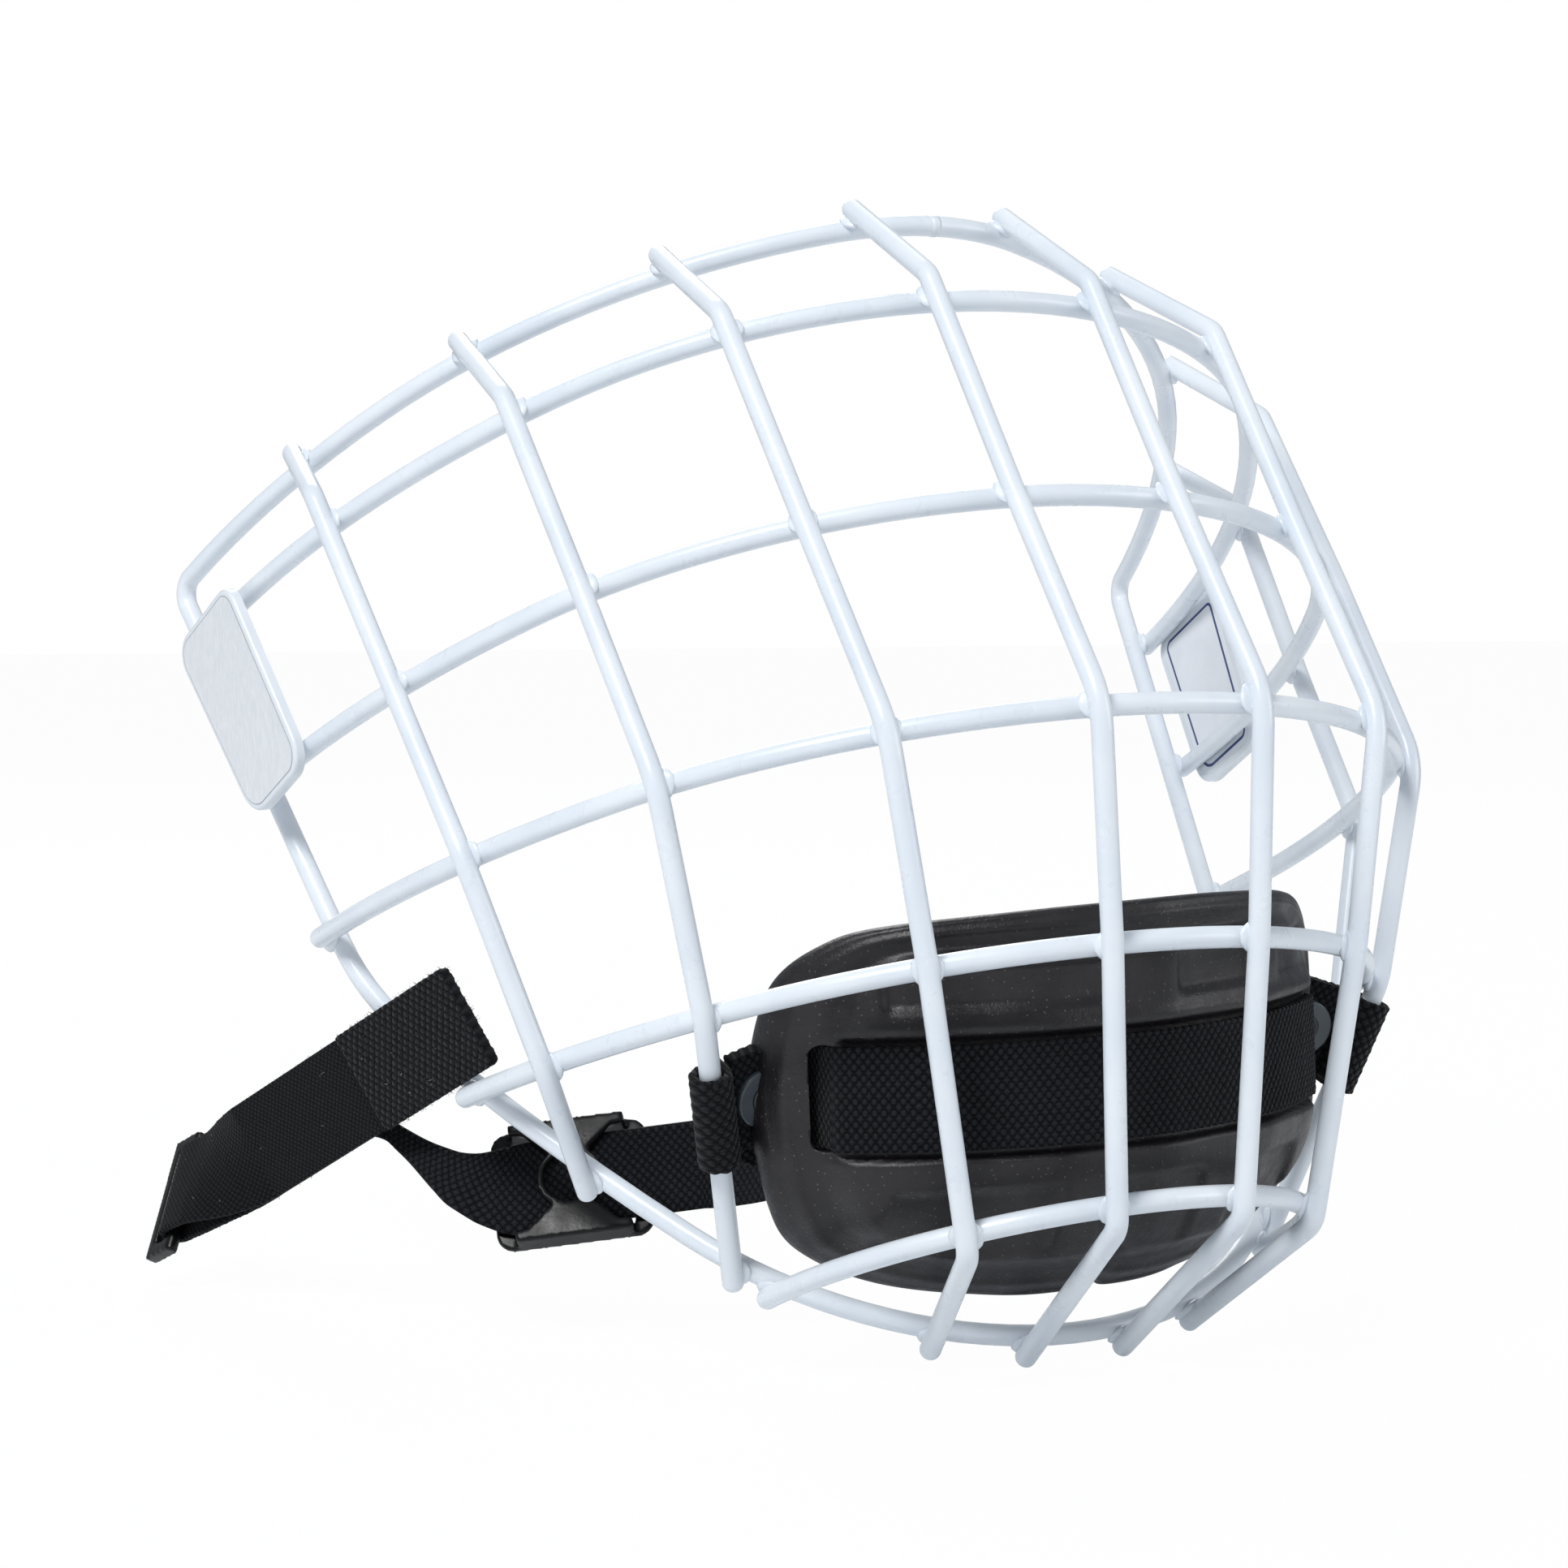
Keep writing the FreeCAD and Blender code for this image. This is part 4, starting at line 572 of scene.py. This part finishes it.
# ---------------------------------------------------------------- straps
# Points and across directions, in millimetres, and for the drawn strap also its width.
ACROSS_TAB = (-0.377, 0.336, 0.863)
CHIN_PATH = [
    ((-54.6, -32.3, -138.5), (-0.26, -0.30, 0.92)), ((-43.8, -35.6, -136.5), (-0.15, -0.15, 0.98)),
    ((-43.5, -45.6, -137.1), (-0.04, 0.0, 1.0)), ((-34.0, -54.8, -136.7), (-0.04, 0.0, 1.0)),
    ((-10.2, -63.8, -135.7), (-0.04, 0.0, 1.0)), ((15.2, -62.8, -134.7), (-0.04, 0.0, 1.0)),
    ((38.2, -51.9, -133.7), (-0.04, 0.0, 1.0)), ((43.5, -42.1, -133.5), (-0.04, 0.0, 1.0)),
    ((45.2, -34.2, -131.2), (0.16, -0.20, 0.97)), ((56.0, -33.4, -133.4), (0.26, -0.30, 0.92)),
]
STRAP_PATH = [
    (-40.1, -27.8, -143.1, 0.24, -0.26, 0.93, 16.0), (-34.3, -25.0, -146.0, 0.24, -0.10, 0.96, 16.0),
    (-33.6, -17.3, -147.9, 0.23, 0.07, 0.97, 16.0), (-34.7, -9.8, -150.4, 0.22, 0.24, 0.95, 16.0),
    (-36.8, -2.4, -152.4, 0.19, 0.41, 0.89, 16.0), (-40.8, 4.0, -154.0, 0.17, 0.54, 0.82, 16.0),
    (-42.7, 5.0, -154.28, 0.17, 0.54, 0.82, 16.0), (-58.0, 13.05, -156.55, 0.17, 0.54, 0.82, 16.0),
    (-69.3, 19.0, -158.2, 0.17, 0.54, 0.82, 15.6), (-72.3, 20.6, -157.7, 0.17, 0.54, 0.82, 13.4),
    (-75.0, 22.6, -156.8, 0.18, 0.56, 0.81, 10.6), (-76.8, 25.4, -155.7, 0.20, 0.60, 0.77, 8.0),
    (-78.1, 28.9, -154.4, 0.22, 0.62, 0.75, 6.2), (-79.2, 32.5, -153.1, 0.22, 0.62, 0.75, 4.8),
    (-80.2, 36.2, -151.8, 0.16, 0.58, 0.80, 4.0), (-81.3, 40.0, -150.4, 0.00, 0.50, 0.86, 3.6),
    (-84.1, 44.4, -149.0, -0.20, 0.42, 0.88, 5.6), (-89.5, 50.2, -148.9, -0.38, 0.34, 0.86, 11.0),
    (-92.2, 58.4, -153.6, -0.38, 0.34, 0.86, 15.0),
]
BAND_PATH = [
    ((-87.9, 36.2, -141.9), ACROSS_TAB), ((-96.7, 62.7, -156.0), ACROSS_TAB),
    ((-98.5, 67.8, -158.4), (-0.11, 0.41, 0.90)), ((-100.6, 72.9, -160.5), (0.19, 0.44, 0.88)),
    ((-102.5, 78.2, -162.5), (0.41, 0.42, 0.81)), ((-104.0, 83.5, -164.6), (0.41, 0.42, 0.81)),
]
TAB_PATH = [((-79.3, 10.2, -128.0), ACROSS_TAB), ((-87.5, 35.1, -141.3), ACROSS_TAB)]
ACROSS_RIGHT_LOOP = (-0.256, -0.296, 0.920)
ACROSS_LEFT_LOOP = (0.256, -0.296, 0.920)
LOOP_PATHS = {
    "right": [((-58.4, -35.1, -140.5), ACROSS_RIGHT_LOOP), ((-48.8, -35.1, -137.8), ACROSS_RIGHT_LOOP)],
    "left": [((59.8, -36.7, -135.5), ACROSS_LEFT_LOOP), ((50.2, -36.7, -132.8), ACROSS_LEFT_LOOP)],
}
strap("chin_webbing", CHIN_PATH, "chin", WEBBING, WEBBING_PITCH, relief=0.24)
drawn_strap("strap_webbing", STRAP_PATH, "strap", WEBBING, WEBBING_PITCH, relief=0.20)
band = strap("elastic_band", BAND_PATH, "strap", ELASTIC, ELASTIC_PITCH, relief=0.07)
tab = strap("hook_tab", TAB_PATH, "tab", PILE, PILE_PITCH, relief=0.14, fuzz=0.12)
for side, path in LOOP_PATHS.items():
    strap(f"chin_loop_{side}", path, "cage", PILE, PILE_PITCH, relief=0.18, fuzz=0.08)


def add_hem():
    """The band's end, hollowed round the tab's rolled end so that no light shows between them."""
    hinge = Vector((-87.53, 35.10, -141.29))
    along = Vector((-0.279, 0.847, -0.452)).normalized()
    across = Vector(ACROSS_TAB).normalized()
    out = along.cross(across).normalized()
    hollow, depth, reach, half_width, steps = 1.08, 0.6, 1.45, 8.3, 6
    turns = [math.asin(depth / hollow) * (k / steps - 1.0) for k in range(2 * steps + 1)]
    curve = [(hollow * math.cos(turn), hollow * math.sin(turn)) for turn in turns]
    profile = curve + [(reach, depth), (reach, -depth)]
    bm = bmesh.new()
    tube(bm, [[bm.verts.new((hinge + along * x + out * y + across * side) * MM) for x, y in profile]
              for side in (-half_width, half_width)])
    bmesh.ops.recalc_face_normals(bm, faces=bm.faces)
    mesh = mesh_of(bm, "band_hem")
    places, _ = corners_of(mesh)
    lay_weave_map(mesh, *unrolled(places / MM, BAND_PATH))
    piece = add_piece("band_hem", mesh, ELASTIC, "strap")
    piece.data.shade_flat()


add_hem()


def add_pile(name, cloth, body, count, length, material):
    """Short bent fibres standing out of a cloth, as one mesh."""
    full_turn, thirds = 6.28, (0.0, 2.09, 4.19)
    sunk = 0.1  # millimetres, so that each fibre starts under the surface
    bm = bmesh.new()
    for face in random.choices(list(cloth.data.polygons), k=count):
        normal = face.normal
        side = normal.orthogonal().normalized()
        side.rotate(Matrix.Rotation(random.uniform(0.0, full_turn), 3, normal))
        lean = side * random.uniform(0.2, 0.9)
        reach = length * random.uniform(0.5, 1.0)
        width = random.uniform(0.035, 0.06) * MM
        other = normal.cross(side)
        rings = []
        for share in (0.0, 0.5, 1.0):
            spot = face.center + (normal * share + lean * share * share) * reach - normal * sunk * MM
            thin = width * (1.0 - 0.6 * share)
            rings.append([bm.verts.new(spot + (side * math.cos(turn) + other * math.sin(turn)) * thin)
                          for turn in thirds])
        tube(bm, rings)
    add_piece(name, mesh_of(bm, name), material, body)


add_pile("tab_pile", tab, "tab", count=900, length=0.8 * MM, material=FIBRE)
add_pile("band_pile", band, "strap", count=700, length=0.55 * MM, material=FIBRE)
add_pile("tab_lint", tab, "tab", count=26, length=0.7 * MM, material=LINT)
add_pile("band_lint", band, "strap", count=22, length=0.6 * MM, material=LINT)

# ---------------------------------------------------------------- chin cup
# The cup's own frame, tipped a little about the front-to-back axis. Sizes are in millimetres.
CUP_AT = Vector((0.0, -0.5, -135.3))
CUP_X = Vector((0.99912, 0.0, 0.04188))
CUP_Z = Vector((-0.04188, 0.0, 0.99912))
CUP_MIDDLE = np.array((0.0, -2.6))
CUP_NARROWING = 0.968
CUP_OUTLINE = [(52.3, 4.0), (50.0, 15.6), (44.5, 22.2), (36.0, 25.3), (18.0, 26.9), (0.0, 27.2),
               (-18.0, 26.9), (-36.0, 25.6), (-44.0, 23.0), (-49.8, 16.8), (-52.3, 5.0), (-52.4, -6.0),
               (-50.0, -17.0), (-44.5, -25.0), (-33.0, -30.6), (-16.0, -33.2), (-3.0, -33.4),
               (0.0, -32.5), (3.0, -33.4), (16.0, -33.2), (33.0, -30.6), (44.5, -24.6), (50.0, -16.6),
               (52.4, -6.0)]
CUP_TURNS = 420
CUP_RINGS = 84
CUP_RADIUS = 64.4
CUP_WALL = 2.6
FLANGE_RISE = -1.9  # the flange's face stands this far inside the cup's round face
TUCK_FROM = -9.0  # below this height the cup tucks in under the chin
TUCK_OVER = 24.4
TUCK_DEPTH = 14.5
# Pressed panels and the webbing's channel: low and high x, then low and high z.
UPPER_PANELS = ((-38.0, -4.0, 13.4, 19.6), (7.0, 24.0, 13.4, 20.2), (31.0, 42.0, 12.6, 19.0))
LOWER_PANELS = ((-37.0, -14.0, -25.0, -14.5), (-6.0, 12.0, -27.0, -14.5), (20.0, 36.0, -25.0, -14.5))
RIDGE_SPAN = (-40.0, 42.0, 5.0, 16.0)
CHANNEL = (-47.2, 46.6, -9.2, 9.2)
SLOT_AT = 44.5
SLOT_RADIUS = 1.75
SLOT_HALF_LENGTH = 6.5
SLOT_TURNS = 32


def cup_place(x, y, z):
    """A place given in the cup's own frame, in metres."""
    return (CUP_AT + CUP_X * x + Vector((0.0, y, 0.0)) + CUP_Z * z) * MM


def smooth_step(value, start, end):
    """0 before the start, 1 after the end, and an even change between."""
    share = np.clip((value - start) / (end - start), 0.0, 1.0)
    return share * share * (3.0 - 2.0 * share)


def hump(value, middle, width):
    """1 in the middle of a rounded ridge, falling away to 0 on both sides."""
    return np.exp(-((value - middle) / width) ** 2)


def pressed(x, z, x_low, x_high, z_low, z_high, soft=1.1):
    """1 inside a soft-edged panel, 0 outside."""
    return (smooth_step(x, x_low - soft, x_low + soft)
            * (1.0 - smooth_step(x, x_high - soft, x_high + soft))
            * smooth_step(z, z_low - soft, z_low + soft)
            * (1.0 - smooth_step(z, z_high - soft, z_high + soft)))


def closed_curve(points, count):
    """Evenly spread places on a smooth closed curve through the given points."""
    points = np.array(points)
    dense = []
    for k in range(len(points)):
        p0, p1, p2, p3 = (points[(k + d) % len(points)] for d in (-1, 0, 1, 2))
        for share in np.linspace(0.0, 1.0, 24, endpoint=False):
            dense.append(0.5 * (2 * p1 + (p2 - p0) * share + (2 * p0 - 5 * p1 + 4 * p2 - p3) * share ** 2
                                + (3 * p1 - p0 - 3 * p2 + p3) * share ** 3))
    dense = np.array(dense + [dense[0]])
    length = lengths_along(dense)
    where = np.linspace(0.0, length[-1], count, endpoint=False)
    return np.column_stack([np.interp(where, length, dense[:, axis]) for axis in (0, 1)])


def cup_radius(z):
    """Radius of the cup's outer face at a height."""
    fall = np.clip((TUCK_FROM - z) / TUCK_OVER, 0.0, 1.0)
    return CUP_RADIUS - TUCK_DEPTH * fall ** 1.9


def cup_relief(x, z, edge):
    """How far the front stands in front of the flange, so far in from the cup's edge."""
    body = smooth_step(edge, 4.6, 7.6)
    bead = 0.5 * hump(edge, 1.6, 0.9)
    channel = pressed(x, z, *CHANNEL, soft=0.6)
    upper = sum(pressed(x, z, *panel) for panel in UPPER_PANELS)
    lower = sum(pressed(x, z, *panel) for panel in LOWER_PANELS)
    ridge = hump(z, 10.6, 1.1) * pressed(x, z, *RIDGE_SPAN)
    waves = 0.25 * np.sin(x * 0.31 + 0.7) * smooth_step(edge, 6.0, 12.0) * (1.0 - channel)
    rise = 2.1 * body + bead - 1.25 * upper - 1.1 * lower + 0.5 * ridge + waves
    return rise * (1.0 - channel) + 0.55 * channel * body


def cup_layers():
    """The cup's rings from the middle of its back, round its edge, to the middle of its front.

    Each is its places as seen from the front and how far they stand out of the cup's round face.
    """
    outline = closed_curve(CUP_OUTLINE, CUP_TURNS) * (CUP_NARROWING, 1.0)
    spread = outline - CUP_MIDDLE
    reach = np.linalg.norm(spread, axis=1)
    front, back = [], []
    shares = 1.0 - np.linspace(0.0, 1.0, CUP_RINGS) ** 1.35  # closer together near the edge
    for share in shares[:-1]:
        flat = CUP_MIDDLE + spread * share
        edge = reach * (1.0 - share)
        front.append((flat, FLANGE_RISE + cup_relief(flat[:, 0], flat[:, 1], edge)))
        back.append((flat, FLANGE_RISE - CUP_WALL - 0.4 * smooth_step(edge, 5.0, 10.0)))
    rolled = []
    for lean in (30.0, 60.0, 90.0, 120.0, 150.0):
        out = spread / reach[:, None] * (math.sin(math.radians(lean)) * CUP_WALL / 2)
        lift = math.cos(math.radians(180.0 - lean)) * CUP_WALL / 2 - CUP_WALL / 2
        rolled.append((outline + out * 0.6, np.full(CUP_TURNS, FLANGE_RISE + lift)))
    return back[::-1] + rolled + front


def slot_cutter(sign):
    """An upright rounded bar that stands through the cup at one of its slots."""
    bm = bmesh.new()
    ring = []
    for turn in range(SLOT_TURNS):
        angle = 2.0 * math.pi * turn / SLOT_TURNS
        x = sign * SLOT_AT + SLOT_RADIUS * math.cos(angle)
        end = SLOT_HALF_LENGTH if math.sin(angle) > 0.0 else -SLOT_HALF_LENGTH
        z = SLOT_RADIUS * math.sin(angle) + end
        ring.append(bm.verts.new(cup_place(x, -70.0, z)))
    grown = bmesh.ops.extrude_face_region(bm, geom=[bm.faces.new(ring)])
    far = [v for v in grown["geom"] if isinstance(v, bmesh.types.BMVert)]
    bmesh.ops.translate(bm, verts=far, vec=(0.0, 50.0 * MM, 0.0))
    bmesh.ops.recalc_face_normals(bm, faces=bm.faces)
    cutter = bpy.data.objects.new("slot_cutter", mesh_of(bm, "slot_cutter"))
    scene.collection.objects.link(cutter)
    return cutter


def with_slots(mesh):
    """The cup with the two upright slots that its webbing passes through."""
    holder = bpy.data.objects.new("cup_holder", mesh)
    scene.collection.objects.link(holder)
    cutters = [slot_cutter(sign) for sign in (-1.0, 1.0)]
    for cutter in cutters:
        cut = holder.modifiers.new("slot", "BOOLEAN")
        cut.operation = "DIFFERENCE"
        cut.solver = "EXACT"
        cut.object = cutter
    ready = holder.evaluated_get(bpy.context.evaluated_depsgraph_get())
    done = bpy.data.meshes.new_from_object(ready)
    for piece in [holder] + cutters:
        bpy.data.objects.remove(piece)
    done.materials.clear()
    return done


def chin_cup():
    """Moulded cup: flange all round, bulging front with pressed panels, and a channel for the webbing."""
    bm = bmesh.new()
    grid = []
    for flat, offset in cup_layers():
        radius = cup_radius(flat[:, 1]) + offset
        depth = -np.sqrt(np.maximum(radius ** 2 - flat[:, 0] ** 2, 1.0))
        grid.append([bm.verts.new(cup_place(x, y, z)) for x, y, z in zip(flat[:, 0], depth, flat[:, 1])])
    join_rings(bm, grid)
    for ring in (grid[0], grid[-1]):
        centre = bm.verts.new(sum((v.co for v in ring), Vector()) / CUP_TURNS)
        for k in range(CUP_TURNS):
            bm.faces.new((ring[k], ring[(k + 1) % CUP_TURNS], centre))
    bmesh.ops.recalc_face_normals(bm, faces=bm.faces)
    mesh = with_slots(mesh_of(bm, "chin_cup_foam"))
    piece = add_piece("chin_cup_foam", mesh, FOAM, "chin")
    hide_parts("chin_cup")


chin_cup()

# ---------------------------------------------------------------- plastic buckles
PLASTIC_VOXEL = 0.00035  # metres


def softened(node, body, material, rounds):
    """A moulded plastic piece with the rounded corners it leaves the tool with."""
    mesh = remeshed(node, PLASTIC_VOXEL, rounds)
    piece = add_piece(node + "_moulding", mesh, material, body)
    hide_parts(node)


softened("slider_buckle", "slider", PLASTIC, rounds=10)
softened("end_loop", "ring", PLASTIC, rounds=8)

# ---------------------------------------------------------------- wires, plates and snap caps
TOUCHING = 0.3 * MM  # two wires whose surfaces come this close are welded
ONE_CROSSING = 8.0 * MM  # places closer than this belong to the same weld
NEAR_CROSSING = 7.0 * MM  # a wire's direction is taken over this reach

for name, node in nodes.items():
    material = None
    if name == "rim" or "_bar_" in name:
        material = WIRE
    elif name.startswith("side_plate"):
        material = PLATE
    elif name.startswith("snap_cap"):
        material = SNAP
    if material is not None:
        node.data.materials.clear()
        node.data.materials.append(material)


def wire_tree(name):
    """A wire's search tree and places spread evenly over its surface."""
    bm = bmesh.new()
    bm.from_mesh(nodes[name].data)
    tree = BVHTree.FromBMesh(bm)
    spread = []
    for edge in bm.edges:
        first, last = (v.co for v in edge.verts)
        steps = max(1, round((last - first).length / MM))
        spread += [first.lerp(last, k / steps)[:] for k in range(steps + 1)]
    bm.free()
    return tree, np.unique(np.round(np.array(spread), 5), axis=0)


def meeting_places(spread, other_tree, other_spread):
    """Middles of the places where one wire's surface touches another wire."""
    low = other_spread.min(axis=0) - MM
    high = other_spread.max(axis=0) + MM
    groups = []
    for spot in spread[((spread > low) & (spread < high)).all(axis=1)]:
        spot = Vector(spot)
        if other_tree.find_nearest(spot, TOUCHING)[0] is None:
            continue
        for group in groups:
            if (group[0] - spot).length < ONE_CROSSING:
                group.append(spot)
                break
        else:
            groups.append([spot])
    return [sum(group, Vector()) / len(group) for group in groups]


def heading(corners, spot):
    """Direction of a wire near a place."""
    near = corners[((corners - np.array(spot)) ** 2).sum(axis=1) < NEAR_CROSSING ** 2]
    near = near - near.mean(axis=0)
    return Vector(np.linalg.svd(near, full_matrices=False)[2][0])


def add_welds():
    """A small bead of weld, under the same coating, wherever two wires cross."""
    uprights = sorted(n for n in nodes if n.startswith("vertical_bar"))
    cross = sorted(n for n in nodes if n.startswith("horizontal_bar"))
    trees = {n: wire_tree(n) for n in uprights + cross + ["rim"]}
    pairs = [(a, b) for a in uprights for b in cross + ["rim"]] + [(a, "rim") for a in cross]
    bm = bmesh.new()
    for one, two in pairs:
        for middle in meeting_places(trees[one][1], *trees[two]):
            first = heading(trees[one][1], middle)
            normal = first.cross(heading(trees[two][1], middle))
            nearly_parallel = normal.length < 0.2
            if not nearly_parallel:
                bead(bm, middle, first, normal.normalized())
    add_piece("weld_beads", mesh_of(bm, "weld_beads"), WIRE, "cage")


def bead(bm, middle, first, normal):
    """Lens of metal squeezed out between two crossing wires, a little uneven."""
    other = normal.cross(first).normalized()
    radius = random.uniform(2.35, 2.75) * MM
    half = random.uniform(0.75, 0.95) * MM
    shift = random.uniform(0.0, 50.0)
    turns, layers = 20, 8
    rings = []
    for k in range(1, layers):
        lean = math.pi * k / layers
        ring = []
        for step in range(turns):
            turn = 2.0 * math.pi * step / turns
            ripple = 1.0 + 0.12 * noise.noise(Vector((math.cos(turn), math.sin(turn), shift)))
            out = radius * math.sin(lean) * ripple
            ring.append(bm.verts.new(middle + (first * math.cos(turn) + other * math.sin(turn)) * out
                                     + normal * half * math.cos(lean)))
        rings.append(ring)
    for low, high in zip(rings, rings[1:]):
        for k in range(turns):
            bm.faces.new((low[k], high[k], high[(k + 1) % turns], low[(k + 1) % turns]))
    bm.faces.new(rings[0])
    bm.faces.new(rings[-1][::-1])


add_welds()


def add_seam():
    """Ring left on the brow wire where its two ends were butted together."""
    bm = bmesh.new()
    radius = 1.7 * MM
    profile = [(-0.8, 0.0), (-0.45, 0.07), (-0.2, 0.16), (0.0, 0.05), (0.2, 0.17), (0.45, 0.06), (0.8, 0.0)]
    turns = 28
    sunk = 0.02
    rings = []
    for along, rise in profile:
        ring = []
        for step in range(turns):
            turn = 2.0 * math.pi * step / turns
            spot = Vector((math.cos(turn) * 2.0, math.sin(turn) * 2.0, along))
            lift = rise * (1.0 + 0.5 * noise.noise(spot))
            out = radius + (lift - sunk) * MM
            ring.append(bm.verts.new((along * MM, out * math.cos(turn), out * math.sin(turn))))
        rings.append(ring)
    tube(bm, rings)
    add_piece("brow_seam", mesh_of(bm, "brow_seam"), WIRE, "cage")


add_seam()


def add_film(node, name, inset, lift, material):
    """Film stuck on the side of a plate that faces -X, in from its edge and standing a little off it."""
    bm = bmesh.new()
    bm.from_mesh(nodes[node].data)
    bmesh.ops.remove_doubles(bm, verts=bm.verts, dist=SAME_PLACE)
    bm.normal_update()
    widest = max((f for f in bm.faces if f.normal.x < -0.5), key=lambda f: f.calc_area())
    facing = widest.normal.copy()
    level = widest.calc_center_median().dot(facing)
    side = {f for f in bm.faces
            if f.normal.dot(facing) > 0.999 and abs(f.calc_center_median().dot(facing) - level) < 0.05 * MM}
    bmesh.ops.delete(bm, geom=[f for f in bm.faces if f not in side], context="FACES")
    bmesh.ops.dissolve_limit(bm, angle_limit=0.02, verts=bm.verts, edges=bm.edges)
    face = max(bm.faces, key=lambda f: f.calc_area())
    border = bmesh.ops.inset_region(bm, faces=[face], thickness=inset * MM, use_even_offset=True,
                                    use_boundary=True)["faces"]
    bmesh.ops.delete(bm, geom=border, context="FACES")
    grown = bmesh.ops.extrude_face_region(bm, geom=list(bm.faces))
    lifted = [v for v in grown["geom"] if isinstance(v, bmesh.types.BMVert)]
    bmesh.ops.translate(bm, verts=lifted, vec=facing * lift * MM)
    bmesh.ops.recalc_face_normals(bm, faces=bm.faces)
    piece = add_piece(name, mesh_of(bm, name), material, "cage")
    piece.data.shade_flat()


# How far in from the plate's edge each film ends and how far off the plate it stands, in millimetres.
add_film("side_plate_right", "side_film_right_1", 0.45, 0.04, GREY)
add_film("side_plate_right", "side_film_right_2", 0.60, 0.06, SILVER)
add_film("side_plate_left", "side_film_left_1", 1.6, 0.05, PAPER)
add_film("side_plate_left", "side_film_left_2", 2.8, 0.07, BLUE)
add_film("side_plate_left", "side_film_left_3", 3.4, 0.09, PAPER)


def add_snap_centres():
    """Ring and dished middle of each press stud, on the side away from the wearer."""
    profile = [(2.35, -0.05), (2.3, 0.12), (2.1, 0.22), (1.8, 0.22), (1.6, 0.10), (1.2, 0.04), (0.5, 0.02)]
    turns = 32
    angles = [2.0 * math.pi * k / turns for k in range(turns)]
    for side in ("right", "left"):
        mesh = nodes[f"snap_cap_{side}"].data
        widest = max((f for f in mesh.polygons if f.normal.y < -0.3), key=lambda f: f.area)
        facing = widest.normal.copy()
        corners = [v.co for v in mesh.vertices]
        centre = sum(corners, Vector()) / len(corners)
        front = max(c.dot(facing) for c in corners)
        centre += facing * (front - centre.dot(facing))
        across = facing.orthogonal().normalized()
        upward = facing.cross(across)
        bm = bmesh.new()
        tube(bm, [[bm.verts.new(centre + (across * math.cos(t) + upward * math.sin(t)) * radius * MM
                                + facing * rise * MM) for t in angles]
                  for radius, rise in profile])
        name = f"snap_centre_{side}"
        add_piece(name, mesh_of(bm, name), SNAP_DARK, "chin")


add_snap_centres()
